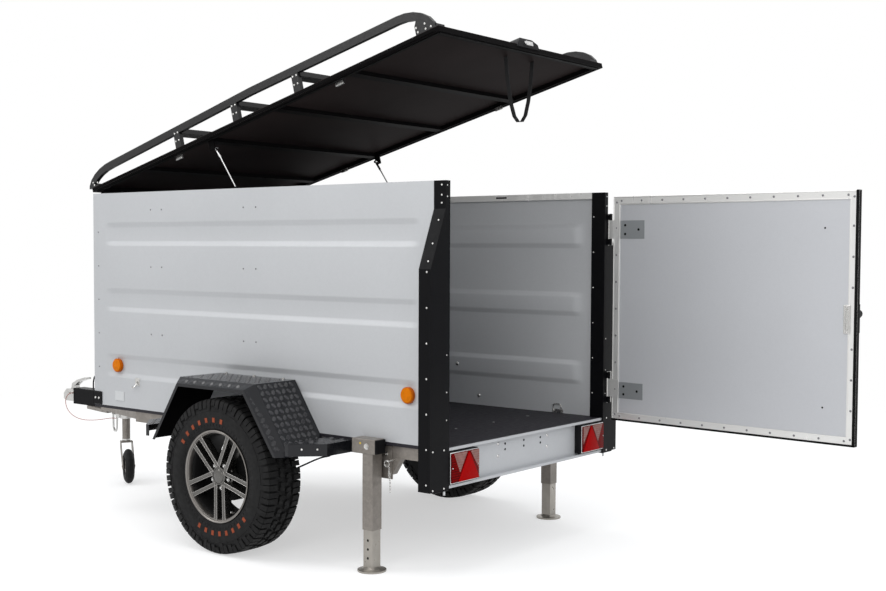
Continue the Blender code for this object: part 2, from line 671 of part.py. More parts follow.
# Drawbar: two arms in a V, a plate under their front ends, and the beam that carries the coupling
ARM_RUN = Vector((ARM_FRONT_X - ARM_REAR_X, ARM_FRONT_Y - ARM_REAR_Y))
ARM_LEAN = ARM_RUN.length / ARM_RUN.x       # width along Y of an arm, over its true width


def arm_inner(x):
    """y of the left arm's inner face."""
    middle = ARM_FRONT_Y + (ARM_FRONT_X - x) * (ARM_REAR_Y - ARM_FRONT_Y) / (ARM_FRONT_X - ARM_REAR_X)
    return middle - ARM_WIDTH / 2 * ARM_LEAN


arm_mid = (ARM_TOP + ARM_BOTTOM) / 2
drawbar = []
for label, side in SIDES:
    drawbar.append(beam((ARM_REAR_X, side * ARM_REAR_Y, arm_mid), (ARM_FRONT_X, side * ARM_FRONT_Y, arm_mid),
                        ARM_WIDTH, ARM_HEIGHT))
plate_top = BEAM_BOTTOM - FIT
plate_outline = ((ARM_FRONT_X - 0.060, 0.098), (ARM_FRONT_X + 0.010, 0.088),
                 (ARM_FRONT_X - 0.060 + DRAW_PLATE_LENGTH, 0.045), (ARM_FRONT_X - 0.060 + DRAW_PLATE_LENGTH, -0.045),
                 (ARM_FRONT_X + 0.010, -0.088), (ARM_FRONT_X - 0.060, -0.098))
drawbar.append(prism(plate_outline, "z", plate_top - DRAW_PLATE, plate_top))
node("drawbar_arms", union(*drawbar), "galvanised")
beam_mid = BEAM_BOTTOM + BEAM_HEIGHT / 2
node("drawbar_beam", beam((BEAM_REAR_X, 0, beam_mid), (BEAM_FRONT_X, 0, beam_mid), BEAM_WIDTH, BEAM_HEIGHT,
                          BEAM_SHEET), "black_steel")

# Coupling head with its ball socket and lift handle
head_low = beam_mid - 0.036
head_high = beam_mid + 0.040
head = prism(((BEAM_FRONT_X + FIT, head_low), (BEAM_FRONT_X + 0.085, head_low), (COUPLING_NOSE_X, head_low + 0.012),
              (COUPLING_NOSE_X, head_high - 0.030), (BEAM_FRONT_X + 0.080, head_high),
              (BEAM_FRONT_X + FIT, head_high)), "y", -HEAD_HALF_WIDTH, HEAD_HALF_WIDTH)
socket_x = BEAM_FRONT_X + 0.060
head = cut(head, rod((socket_x, 0, head_low - 0.02), (socket_x, 0, head_low + 0.034), 0.051, 20))
cheek = prism([(BEAM_FRONT_X + x, head_high + z) for x, z in (
    (0.005, -0.010), (0.065, -0.010), (0.045, 0.034), (0.015, 0.034))], "y", -0.016, 0.016)
grip = prism([(BEAM_FRONT_X + x, head_high + z) for x, z in (
    (0.050, 0.018), (0.045, 0.036), (-0.010, 0.062), (-0.090, 0.082), (-0.105, 0.080), (-0.105, 0.072),
    (-0.020, 0.048), (0.020, 0.020))], "y", -0.019, 0.019)
node("coupling_head", union(head, cheek, grip), "zinc")

# Axle: beam, trailing arms, stub axles and the brackets that hang it from the floor frame, in one welded piece
axle_z = RAIL_BOTTOM - AXLE_DROP
axle_x = AXLE_X + AXLE_LEAD
stub_out = TYRE_Y + 0.024
arm_y = HALF_WIDTH - 0.058
parts = []
for side in (1, -1):
    parts.append(beam((axle_x + 0.03, side * arm_y, axle_z), (AXLE_X - 0.03, side * arm_y, AXLE_Z), 0.022, 0.07))
    parts.append(rod((AXLE_X, side * (arm_y - 0.01), AXLE_Z), (AXLE_X, side * stub_out, AXLE_Z), STUB_DIAMETER, 20))
    foot_y = side * (HALF_WIDTH - 0.158)
    parts.append(block((axle_x - 0.060, foot_y - 0.004, axle_z - 0.030), (axle_x + 0.060, foot_y + 0.004,
                                                                         RAIL_BOTTOM + 0.003)))
for at in (axle_x - 0.045, axle_x + 0.045):
    parts.append(block((at - 0.015, -RAIL_OUTER, RAIL_BOTTOM - 0.006 - FIT),
                       (at + 0.015, RAIL_OUTER, RAIL_BOTTOM - FIT)))
axle = union(beam((axle_x, -arm_y, axle_z), (axle_x, arm_y, axle_z), AXLE_TUBE, AXLE_TUBE), *parts)
axle = cut(axle, block((axle_x - 0.2, -RAIL_OUTER - 0.1, RAIL_BOTTOM - FIT), (axle_x + 0.2, RAIL_OUTER + 0.1, 0.7)))
node("axle_beam", axle, "galvanised")

# Wheels: lugged tyre, and a rim with double spokes and the brake drum behind them
radius = TYRE_DIAMETER / 2
half = TYRE_WIDTH / 2
seat = RIM_DIAMETER / 2 - 0.018
lip = RIM_DIAMETER / 2
edge = RIM_WIDTH / 2
floor_radius = radius - LUG_HEIGHT
TYRE_SIDE = (               # radius and y of one half of the tyre, from the bead to the middle block
    (seat + FIT, edge - 0.0125),
    (radius - 0.085, half - 0.001),
    (radius - 0.036, half - 0.006),
    (floor_radius - 0.003, half - 0.026),
    (floor_radius, half - 0.066),
    (floor_radius, half - 0.076),
)
PITCH = 2 * math.pi / LUG_COUNT
lug_turns = [PITCH * (k // 2) + (PITCH * LUG_SHARE if k % 2 else 0.0) for k in range(2 * LUG_COUNT)]


def lugged_tyre(centre):
    """A tyre whose blocks are raised from the tread floor. The two shoulders are half a pitch apart."""
    profile = [(r, -y) for r, y in TYRE_SIDE] + [(r, y) for r, y in reversed(TYRE_SIDE)]
    skew = [PITCH / 4 * max(-1.0, min(1.0, y / (half - 0.066))) for _, y in profile]
    shape = lathe(profile, "y", centre, 0, lug_turns, skew)
    shape.faces.ensure_lookup_table()
    count = len(profile)
    crown = len(TYRE_SIDE)
    blocks = []
    for step in range(0, 2 * LUG_COUNT, 2):
        for rows in ((crown - 4, crown - 3), (crown - 1,), (crown + 1, crown + 2)):
            blocks.append([shape.faces[step * count + row] for row in rows])
    for faces in blocks:
        raise_block(shape, faces, centre)
    bmesh.ops.delete(shape, geom=[face for faces in blocks for face in faces], context="FACES_ONLY")
    return shape


def raise_block(shape, faces, centre):
    """Adds the top and the sides of one tread block over the tread floor's faces."""
    corners = {v for f in faces for v in f.verts}
    tops = {}
    for corner in corners:
        away = Vector((corner.co.x - centre[0], 0, corner.co.z - centre[2]))
        reach = radius if away.length > floor_radius - 0.004 else away.length + LUG_HEIGHT * 0.75
        lifted = Vector(centre) + away.normalized() * reach
        lifted.y = corner.co.y
        tops[corner] = shape.verts.new(lifted)
    for face in faces:
        ring = list(face.verts)
        shape.faces.new([tops[v] for v in ring])
        for a, b in zip(ring, ring[1:] + ring[:1]):
            shared = [f for f in faces if f is not face and a in f.verts and b in f.verts]
            if not shared:
                shape.faces.new((a, b, tops[b], tops[a]))


for label, side in SIDES:
    pivot = (AXLE_X, side * TYRE_Y, AXLE_Z)
    hub = empty(f"wheel_{label}_axis", ROOT, pivot)
    tyre = lugged_tyre((AXLE_X, TYRE_Y, AXLE_Z))
    node(f"tyre_{label}", mirrored(tyre, side), "rubber", hub, pivot, smooth=25)
    barrel = ((lip - 0.012, edge + 0.004), (lip, edge + 0.006), (lip, edge), (seat, edge - 0.010),
              (seat, -edge + 0.010), (lip, -edge), (lip, -edge - 0.005), (seat - 0.008, -edge + 0.004),
              (seat - 0.008, edge - 0.022))
    centre = (AXLE_X, TYRE_Y, AXLE_Z)
    rim = lathe(barrel, "y", centre, RIM_STEPS)
    bore = STUB_DIAMETER / 2 + FIT
    cap_y = 0.066
    boss = lathe(((bore, 0.026), (bore, -0.070), (0.060, -0.070), (0.066, cap_y - 0.020), (0.052, cap_y),
                  (0.0, cap_y), (0.0, 0.026)), "y", centre, 20)
    drum_in = -0.070
    drum = lathe(((bore, drum_in), (bore, drum_in - 0.010), (DRUM_DIAMETER / 2, drum_in - 0.010),
                  (DRUM_DIAMETER / 2, drum_in + DRUM_WIDTH - 0.012), (DRUM_DIAMETER / 2 - 0.012, drum_in + DRUM_WIDTH),
                  (0.050, drum_in + DRUM_WIDTH), (0.050, drum_in)), "y", centre, 24)
    spokes = []
    for k in range(SPOKE_PAIRS):
        for lean in (-1, 1):
            at_hub = 2 * math.pi * k / SPOKE_PAIRS + lean * 0.24
            at_rim = 2 * math.pi * k / SPOKE_PAIRS + lean * 0.17
            corners = []
            for reach, turn, wide, front_y, back_y in ((0.050, at_hub, 0.011, cap_y - 0.014, cap_y - 0.040),
                                                       (seat - 0.004, at_rim, 0.011, edge - 0.022, edge - 0.046)):
                along = Vector((math.sin(turn), 0, math.cos(turn)))
                across = Vector((math.cos(turn), 0, -math.sin(turn)))
                for s in (-1, 1):
                    for y in (front_y, back_y):
                        corners.append(Vector(centre) + along * reach + across * (s * wide) + Vector((0, y, 0)))
            spokes.append(hull(corners))
    node(f"rim_{label}", mirrored(union(rim, boss, drum, *spokes), side), "alloy", hub, pivot)

# Fenders: an angular mudguard with a turned-down lip, its outer edge a little lower than its wall side
fender_top = TYRE_DIAMETER + FENDER_RISE
FENDER_OUTLINE = (
    (AXLE_X - radius - FENDER_REAR[0], FENDER_BOTTOM),
    (AXLE_X - radius - FENDER_REAR[1], fender_top),
    (AXLE_X + radius + FENDER_FRONT[1], fender_top),
    (AXLE_X + radius + FENDER_FRONT[0], FENDER_BOTTOM),
)


def fender_shape():
    outer = list(FENDER_OUTLINE)
    (x0, z0), (x1, z1), (x2, z2), (x3, z3) = outer
    sheet = FENDER_SHEET
    inner = [(x0 + sheet * 1.2, z0), (x1 + sheet * 0.4, z1 - sheet), (x2 - sheet * 0.4, z2 - sheet),
             (x3 - sheet * 1.2, z3)]
    skin = prism(outer + inner[::-1], "y", HALF_WIDTH + FIT, FENDER_OUT)
    inside = [(x0 + FENDER_LIP * 1.2, z0), (x1 + FENDER_LIP * 0.5, z1 - FENDER_LIP),
              (x2 - FENDER_LIP * 0.5, z2 - FENDER_LIP), (x3 - FENDER_LIP * 1.2, z3)]
    fold = prism(outer + inside[::-1], "y", FENDER_OUT - FENDER_SHEET, FENDER_OUT + 0.0002)
    shape = union(skin, fold)
    for vert in shape.verts:
        vert.co.z += FENDER_FALL * (FENDER_OUT - vert.co.y) / (FENDER_OUT - HALF_WIDTH)
    return shape


for label, side in SIDES:
    node(f"fender_{label}", mirrored(fender_shape(), side), "chequer")


# Steps behind and ahead of each fender: a plate on an edge bar, with a foot along the wall
def slope_x(bottom, top, z):
    """x at height z on the line between two (x, z) points."""
    return bottom[0] + (top[0] - bottom[0]) * (z - bottom[1]) / (top[1] - bottom[1])


def step_shape(fender_x, direction, foot_length):
    wall_y = HALF_WIDTH + FIT
    near = fender_x + direction * 0.004
    far = fender_x + direction * STEP_REACH
    corner_y = FENDER_OUT - STEP_CHAMFER
    edge_y = FENDER_OUT - 0.012
    plan = [(near, wall_y), (near, edge_y), (near + direction * 0.020, edge_y), (far, corner_y), (far, wall_y)]
    plate = prism(plan, "z", STEP_TOP - STEP_PLATE, STEP_TOP)
    inset = 0.004
    bar_plan = [(near, edge_y), (near + direction * 0.020, edge_y), (far, corner_y), (far, wall_y),
                (far - direction * inset, wall_y), (far - direction * inset, corner_y - inset * 0.4),
                (near + direction * 0.018, edge_y - inset), (near, edge_y - inset)]
    bar = prism(bar_plan, "z", STEP_TOP - STEP_BAR, STEP_TOP - STEP_PLATE / 2)
    foot_low, foot_high = sorted((far - direction * 0.006, far + direction * foot_length))
    foot = block((foot_low, wall_y, STEP_TOP - STEP_BAR), (foot_high, wall_y + 0.005, STEP_TOP))
    return union(plate, bar, foot)


rear_face_x = slope_x(FENDER_OUTLINE[0], FENDER_OUTLINE[1], STEP_TOP - STEP_BAR - FENDER_FALL)
front_face_x = slope_x(FENDER_OUTLINE[3], FENDER_OUTLINE[2], STEP_TOP - STEP_BAR - FENDER_FALL)
LEG_X = rear_face_x - STEP_REACH - REAR_FOOT - 0.004 - LEG_HEAD_AHEAD
for label, side in SIDES:
    node(f"step_rear_{label}", mirrored(step_shape(rear_face_x, -1, REAR_FOOT), side), "chequer")
    node(f"step_front_{label}", mirrored(step_shape(front_face_x, 1, 0.060), side), "chequer")

# Prop legs: a head bar on a chassis bracket with the outer tube under it, and the sliding inner tube on its foot
leg_inner = LEG_OUTER - 2 * LEG_WALL - 2 * FIT
head_bottom = LEG_HEAD_TOP - LEG_HEAD_HEIGHT
for label, side in SIDES:
    head = block((LEG_X - LEG_HEAD_BACK, LEG_Y - LEG_HEAD_HALF, head_bottom),
                 (LEG_X + LEG_HEAD_AHEAD, LEG_Y + LEG_HEAD_HALF, LEG_HEAD_TOP), 0.003)
    outer_leg = beam((LEG_X, LEG_Y, LEG_OUTER_BOTTOM), (LEG_X, LEG_Y, head_bottom + 0.004), LEG_OUTER, LEG_OUTER,
                     LEG_WALL, up=(1, 0, 0))
    plate_y = RAIL_OUTER + FIT
    bracket = block((LEG_X - 0.072, plate_y, 0.410), (LEG_X + 0.041, plate_y + LEG_PLATE, RAIL_TOP - 0.004))
    spindle = rod((LEG_X, plate_y + 0.002, 0.500), (LEG_X, LEG_Y - LEG_OUTER / 2 + 0.001, 0.500), 0.030)
    gusset = prism(((LEG_X - 0.070, RAIL_BOTTOM - FIT), (LEG_X - 0.120, RAIL_BOTTOM - FIT),
                    (LEG_X - 0.070, 0.430)), "y", plate_y - 0.030, plate_y + 0.002)
    node(f"leg_holder_{label}", mirrored(union(head, outer_leg, bracket, spindle, gusset), side), "galvanised")
    slide = empty(f"leg_{label}_axis", ROOT, (LEG_X, side * LEG_Y, 0))
    stem = beam((LEG_X, LEG_Y, 0.012), (LEG_X, LEG_Y, head_bottom - LEG_TRAVEL - CLEAR), leg_inner, leg_inner,
                up=(1, 0, 0))
    foot = lathe(((0.0, 0.020), (0.030, 0.020), (0.042, 0.012), (FOOT_DIAMETER / 2, 0.008),
                  (FOOT_DIAMETER / 2, 0.0), (0.0, 0.0)), "z", (LEG_X, LEG_Y, 0), 24)
    node(f"leg_foot_{label}", mirrored(union(foot, stem), side), "galvanised", slide, (LEG_X, side * LEG_Y, 0))

# Jockey wheel: clamp on the drawbar, column that slides in it, swivelling fork, wheel
clamp_low = ARM_BOTTOM - 0.040
clamp_high = ARM_TOP - 0.010
tube_radius = JOCKEY_TUBE / 2 + FIT
collar = lathe(((tube_radius, clamp_low), (tube_radius + 0.011, clamp_low), (tube_radius + 0.011, clamp_high),
                (tube_radius, clamp_high)), "z", (JOCKEY_X, JOCKEY_Y, 0), 24)
carrier_rear = JOCKEY_X - 0.080
carrier_front = JOCKEY_X - tube_radius - 0.003
carrier = prism(((carrier_rear, arm_inner(carrier_rear) - FIT), (carrier_front, arm_inner(carrier_front) - FIT),
                 (carrier_front, -arm_inner(carrier_front) + FIT), (carrier_rear, -arm_inner(carrier_rear) + FIT)),
                "z", ARM_BOTTOM + 0.010, clamp_high - 0.004)
lug_z = clamp_low + 0.018
lug = block((JOCKEY_X + tube_radius + 0.002, JOCKEY_Y - 0.018, clamp_low + 0.002),
            (JOCKEY_X + tube_radius + 0.040, JOCKEY_Y + 0.030, clamp_low + 0.034))
screw_y = JOCKEY_Y + 0.006
screw = rod((JOCKEY_X + tube_radius + 0.030, screw_y, lug_z), (JOCKEY_X + 0.128, screw_y, lug_z), 0.012, 12)
bail_points = [(JOCKEY_X + 0.080, lug_z + 0.004), (JOCKEY_X + 0.084, 0.318), (JOCKEY_X + 0.092, 0.298),
               (JOCKEY_X + 0.108, 0.298), (JOCKEY_X + 0.118, 0.318), (JOCKEY_X + 0.120, lug_z + 0.004)]


def swept_bar(path, width, height, at, axis="y"):
    """A flat bar that follows a path of points in the plane across an axis, as a polygon offset to both sides."""
    points = [Vector(p) for p in path]
    upper, lower = [], []
    for i, point in enumerate(points):
        before = (point - points[i - 1]).normalized() if i else None
        after = (points[i + 1] - point).normalized() if i < len(points) - 1 else None
        run = (before + after).normalized() if before and after else (before or after)
        normal = Vector((-run.y, run.x))
        stretch = 1.0
        if before and after:
            stretch = 1 / max(0.5, normal.dot(Vector((-before.y, before.x))))
        upper.append(tuple(point + normal * (height / 2 * stretch)))
        lower.append(tuple(point - normal * (height / 2 * stretch)))
    return prism(upper + lower[::-1], axis, at - width / 2, at + width / 2)


bail = swept_bar(bail_points, 0.009, 0.009, screw_y)
node("jockey_clamp", union(collar, carrier, lug, screw, bail), "zinc")

column_axis = empty("jockey_column_axis", ROOT, (JOCKEY_X, JOCKEY_Y, 0))
column_pivot = (JOCKEY_X, JOCKEY_Y, 0)
crank_z = JOCKEY_TUBE_TOP + 0.022
column = union(rod((JOCKEY_X, JOCKEY_Y, JOCKEY_TUBE_BOTTOM), (JOCKEY_X, JOCKEY_Y, JOCKEY_TUBE_TOP), JOCKEY_TUBE, 24),
               rod((JOCKEY_X, JOCKEY_Y, JOCKEY_TUBE_TOP - 0.004), (JOCKEY_X, JOCKEY_Y, crank_z + 0.006), 0.018, 12),
               block((JOCKEY_X - 0.010, JOCKEY_Y - 0.010, crank_z - 0.005),
                     (JOCKEY_X + CRANK_REACH, JOCKEY_Y + 0.010, crank_z + 0.005)),
               rod((JOCKEY_X + CRANK_REACH - 0.012, JOCKEY_Y, crank_z - 0.003),
                   (JOCKEY_X + CRANK_REACH - 0.012, JOCKEY_Y, crank_z + 0.105), 0.024, 12))
node("jockey_column", column, "galvanised", column_axis, column_pivot)

fork_axis = empty("jockey_fork_axis", column_axis, (0, 0, 0), (0, 0, math.radians(JOCKEY_TURN)))
wheel_radius = JOCKEY_WHEEL / 2
cheek_y = JOCKEY_WHEEL_WIDTH / 2 + CLEAR
wheel_x = JOCKEY_X - JOCKEY_TRAIL
crown_top = JOCKEY_TUBE_BOTTOM - FIT
cheeks = []
for turn in (1, -1):
    low, high = sorted((cheek_y * turn + JOCKEY_Y, (cheek_y + 0.004) * turn + JOCKEY_Y))
    cheek = prism(((wheel_x - 0.016, wheel_radius - 0.016), (wheel_x + 0.016, wheel_radius - 0.020),
                   (JOCKEY_X + 0.024, crown_top - 0.040), (JOCKEY_X + 0.026, crown_top),
                   (JOCKEY_X - 0.028, crown_top), (wheel_x - 0.020, wheel_radius + 0.012)), "y", low, high)
    cheeks.append(cheek)
crown = block((JOCKEY_X - 0.028, JOCKEY_Y - cheek_y - 0.002, crown_top - 0.008),
              (JOCKEY_X + 0.026, JOCKEY_Y + cheek_y + 0.002, crown_top))
pin = rod((wheel_x, JOCKEY_Y - cheek_y - 0.008, wheel_radius), (wheel_x, JOCKEY_Y + cheek_y + 0.008, wheel_radius),
          0.012, 12)
node("jockey_fork", union(crown, *cheeks, pin), "galvanised", fork_axis, column_pivot)
spin_axis = empty("jockey_wheel_axis", fork_axis, (-JOCKEY_TRAIL, 0, wheel_radius))
wide = JOCKEY_WHEEL_WIDTH / 2
bore = 0.006 + FIT
small_wheel = ((bore, -wide - 0.004), (0.018, -wide - 0.004), (0.022, -wide + 0.010), (0.048, -wide + 0.010),
               (0.056, -wide + 0.002), (wheel_radius - 0.022, -wide), (wheel_radius - 0.006, -wide + 0.010),
               (wheel_radius, -wide + 0.020), (wheel_radius, wide - 0.020), (wheel_radius - 0.006, wide - 0.010),
               (wheel_radius - 0.022, wide), (0.056, wide - 0.002), (0.048, wide - 0.010), (0.022, wide - 0.010),
               (0.018, wide + 0.004), (bore, wide + 0.004))
node("jockey_wheel", lathe(small_wheel, "y", (wheel_x, JOCKEY_Y, wheel_radius), 32), "rubber", spin_axis,
     (wheel_x, JOCKEY_Y, wheel_radius))

# Rear door on the right post: a frame with its hinge leaves, the panel in it, and the latch at the free edge
door_axis = empty("door_axis", ROOT, (DOOR_HINGE_X, DOOR_HINGE_Y, 0), (0, 0, DOOR_TURN))
door_pivot = (DOOR_HINGE_X, DOOR_HINGE_Y, 0)
door_far_y = DOOR_EDGE_Y + DOOR_WIDTH
frame = cut(block((DOOR_OUTER_X, DOOR_EDGE_Y, DOOR_BOTTOM), (DOOR_INNER_X, door_far_y, DOOR_TOP), 0.002),
            block((DOOR_OUTER_X - 0.01, DOOR_EDGE_Y + DOOR_BORDER, DOOR_BOTTOM + DOOR_BORDER),
                  (DOOR_INNER_X + 0.01, door_far_y - DOOR_BORDER, DOOR_TOP - DOOR_BORDER)))
leaves = []
for low, high, leaf_low, leaf_high in HINGE_TABLE:
    leaves.append(rod((DOOR_HINGE_X, DOOR_HINGE_Y, leaf_low), (DOOR_HINGE_X, DOOR_HINGE_Y, leaf_high),
                      HINGE_BARREL, 12))
    leaves.append(block((DOOR_INNER_X - 0.0005, DOOR_HINGE_Y, leaf_low),
                        (DOOR_INNER_X + HINGE_LEAF, DOOR_EDGE_Y + DOOR_BORDER - 0.001, leaf_high)))
node("door_frame", union(frame, *leaves), "wall_sheet", door_axis, door_pivot)
panel_x = (DOOR_INNER_X + DOOR_OUTER_X) / 2
node("door_panel", block((panel_x - DOOR_PANEL / 2, DOOR_EDGE_Y + DOOR_BORDER + FIT, DOOR_BOTTOM + DOOR_BORDER + FIT),
                         (panel_x + DOOR_PANEL / 2, door_far_y - DOOR_BORDER - FIT, DOOR_TOP - DOOR_BORDER - FIT)),
     "wall_sheet", door_axis, door_pivot)
latch_y = door_far_y - 0.020
latch = union(block((DOOR_OUTER_X - FIT - 0.012, latch_y - 0.018, LATCH_Z - 0.065),
                    (DOOR_OUTER_X - FIT, latch_y + 0.018, LATCH_Z + 0.065), 0.003),
              rod((DOOR_OUTER_X - 0.036, latch_y, LATCH_Z + 0.020), (DOOR_OUTER_X - 0.010, latch_y, LATCH_Z + 0.020),
                  0.036, 16))
node("door_latch", latch, "black_plastic", door_axis, door_pivot)

# Lid on its front hinge: frame with braces, strut brackets and hinge knuckles, skin, latch housing and pull strap
lid_axis = empty("lid_axis", ROOT, (LID_HINGE_X, 0, LID_HINGE_Z), (0, math.radians(LID_OPEN), 0))
lid_pivot = (LID_HINGE_X, 0, LID_HINGE_Z)
lid_rear = LID_HINGE_X - LID_LENGTH
lid_front = LID_HINGE_X - LID_HINGE_BARREL / 2 - 0.0025
lid_base = LID_HINGE_Z
lid_top = lid_base + LID_THICK
under_skin = lid_top - LID_SKIN - FIT
lid_half = LID_WIDTH / 2
shape = cut(block((lid_rear, -lid_half, lid_base), (lid_front, lid_half, under_skin)),
            block((lid_rear + LID_FRAME, -lid_half + LID_FRAME, lid_base - 0.01),
                  (lid_front - LID_FRAME, lid_half - LID_FRAME, lid_top)))
pieces = []
for share in LID_BRACE_SHARES:
    at = LID_HINGE_X - share * LID_LENGTH
    pieces.append(block((at - 0.02, -lid_half + LID_FRAME - 0.004, lid_base + 0.001),
                        (at + 0.02, lid_half - LID_FRAME + 0.004, under_skin - 0.001)))
open_turn = math.radians(LID_OPEN)
eye_back = STRUT_EYE_BACK * math.cos(open_turn) + STRUT_EYE_RISE * math.sin(open_turn)
eye_drop = STRUT_EYE_BACK * math.sin(open_turn) - STRUT_EYE_RISE * math.cos(open_turn)
eye_x = LID_HINGE_X - eye_back
eye_z = LID_HINGE_Z - eye_drop
bracket_y = STRUT_Y + 0.0175
for side in (1, -1):
    low, high = sorted((side * bracket_y, side * (bracket_y + 0.008)))
    pieces.append(block((eye_x - 0.018, low, eye_z - 0.012), (eye_x + 0.018, high, under_skin - 0.002)))
    pieces.append(rod((eye_x, side * STUD_FACE, eye_z), (eye_x, side * (bracket_y + 0.003), eye_z), STRUT_STUD, 12))
for low, high, lid in KNUCKLE_TABLE:
    if lid:
        pieces.append(block((lid_front - 0.010, low + FIT, lid_base), (LID_HINGE_X, high - FIT, lid_base + 0.004)))
node("lid_frame", union(shape, *pieces, *knuckles(True)), "black_steel", lid_axis, lid_pivot)
node("lid_skin", block((lid_rear, -lid_half, lid_top - LID_SKIN), (lid_front, lid_half, lid_top)), "black_steel",
     lid_axis, lid_pivot)
node("lid_latch", block((lid_rear + 0.004, -LID_LATCH_HALF, lid_top + FIT),
                        (lid_rear + 0.004 + LID_LATCH_DEPTH, LID_LATCH_HALF, lid_top + FIT + LID_LATCH_HEIGHT), 0.008),
     "black_plastic", lid_axis, lid_pivot)
strap_back = LID_LENGTH - STRAP_INSET
strap_top = LID_HINGE_Z + strap_back * math.tan(open_turn)
strap_line = [(y, strap_top + rise) for y, rise in STRAP_TABLE]
strap = swept_bar(strap_line, STRAP_WIDTH, STRAP_THICK, LID_HINGE_X - strap_back, "x")
shut = Matrix.Rotation(-open_turn, 4, "Y")
bmesh.ops.transform(strap, verts=strap.verts,
                    matrix=Matrix.Translation(lid_pivot) @ shut @ Matrix.Translation(-Vector(lid_pivot)))
inside_skin = lid_top - LID_SKIN - FIT
strap = cut(strap, block((lid_rear, -0.4, inside_skin), (lid_rear + 0.5, 0.4, inside_skin + 0.3)))
node("lid_strap", strap, "webbing", lid_axis, lid_pivot)

# Roof rack: two bent rails with feet, and cross bars on uprights
def from_lid(back, height):
    return (LID_HINGE_X - back, lid_base + height)


rail_path = []
for k in range(6):
    turn = math.radians(15 * k)
    rail_path.append(from_lid(RACK_FRONT_CURVE - (RACK_FRONT_CURVE + 0.004) * math.cos(turn),
                              0.008 + (RACK_RISES[0] - 0.008) * math.sin(turn)))
rail_path += [from_lid(back, height) for back, height in zip(RACK_RUNS, RACK_RISES)]
for k in range(1, 7):
    turn = math.radians(15 * k)
    rail_path.append(from_lid(RACK_RUNS[-1] + RACK_REAR_CURVE * math.sin(turn),
                              0.016 + (RACK_RISES[-1] - 0.016) * math.cos(turn)))
rack = []
for label, side in SIDES:
    rack.append(mirrored(swept_bar(rail_path, RACK_WIDE, RACK_HIGH, RACK_Y), side))
    foot_low, foot_high = sorted((side * (RACK_Y - 0.012), side * (RACK_Y + 0.0105)))
    rack.append(prism([from_lid(back, height) for back, height in GUSSET], "y", foot_low, foot_high))
    rack.append(block((LID_HINGE_X - 0.070, foot_low, lid_top + FIT), (LID_HINGE_X + 0.004, foot_high, lid_top + 0.008)))
    inner_low, inner_high = sorted((side * (RACK_Y - 0.060), side * RACK_Y))
    rack.append(block((LID_HINGE_X - 2.486, inner_low, lid_top + FIT), (LID_HINGE_X - 2.440, inner_high, lid_top + 0.020)))
    for back in RACK_BAR_TABLE:
        at = LID_HINGE_X - back
        rack.append(block((at - 0.022, foot_low, lid_top + FIT), (at + 0.022, foot_high, lid_base + 0.110)))
for back in RACK_BAR_TABLE:
    at = LID_HINGE_X - back
    rack.append(block((at - 0.030, -RACK_Y, lid_base + 0.092), (at + 0.030, RACK_Y, lid_base + 0.116)))
below_skin = block((lid_rear - 0.1, -0.8, lid_base - 0.2), (LID_HINGE_X + 0.1, 0.8, lid_top + FIT))
node("roof_rack", cut(union(*rack), below_skin), "black_steel", lid_axis, lid_pivot)

# Gas struts, in the lid's open pose: a cylinder on the wall's stud and a rod whose eye meets the lid's stud
for label, side in SIDES:
    base = STRUT_BASE + Vector((0, side * STRUT_Y, 0))
    eye = STRUT_TOP + Vector((0, side * STRUT_Y, 0))
    strut_axis = empty(f"strut_{label}_axis", ROOT, base)
    cylinder_end = base + STRUT_RUN * STRUT_TUBE_LENGTH
    across = Vector((0, STRUT_EYE / 2, 0))
    bore_end = base + STRUT_RUN * 0.030
    cylinder = union(tube(bore_end - STRUT_RUN * 0.004, cylinder_end, STRUT_TUBE, STRUT_ROD + 2 * FIT, 12),
                     rod(base + STRUT_RUN * 0.002, bore_end, 0.012, 12), rod(base - across, base + across, 0.018, 12))
    node(f"strut_cylinder_{label}", cylinder, "black_steel", strut_axis, base)
    rod_axis = empty(f"strut_rod_{label}_axis", strut_axis, (0, 0, 0))
    rod_start = cylinder_end - STRUT_RUN * 0.060
    bar = union(rod(rod_start, eye - STRUT_RUN * 0.002, STRUT_ROD, 12),
                rod(eye - STRUT_RUN * 0.060, eye - STRUT_RUN * 0.004, 0.013, 12), rod(eye - across, eye + across, 0.016, 12))
    node(f"strut_rod_{label}", bar, "zinc", rod_axis, base)

# Breakaway cable from the coupling head to the clamp's lug. Places are ahead of the beam's front end.
RED_ROUTE = (
    (0.006, HEAD_HALF_WIDTH + FIT, 0.498), (0.008, 0.050, 0.498), (0.020, 0.066, 0.488), (0.030, 0.076, 0.462),
    (0.022, 0.082, 0.430), (-0.002, 0.086, 0.398), (-0.042, 0.088, 0.372), (-0.092, 0.088, 0.355),
    (-0.150, 0.086, 0.346), (-0.210, 0.084, 0.346), (-0.280, 0.082, 0.352), (-0.350, 0.079, 0.362),
    (-0.410, 0.077, 0.373), (-0.460, 0.0755, 0.3795),
)
red_end = (JOCKEY_X + tube_radius + 0.040 + FIT, 0.075, 0.3800)
red_line = [(BEAM_FRONT_X + x, y, z) for x, y, z in RED_ROUTE] + [red_end]
cable("breakaway_cable", red_line, 0.004, "red_cable")

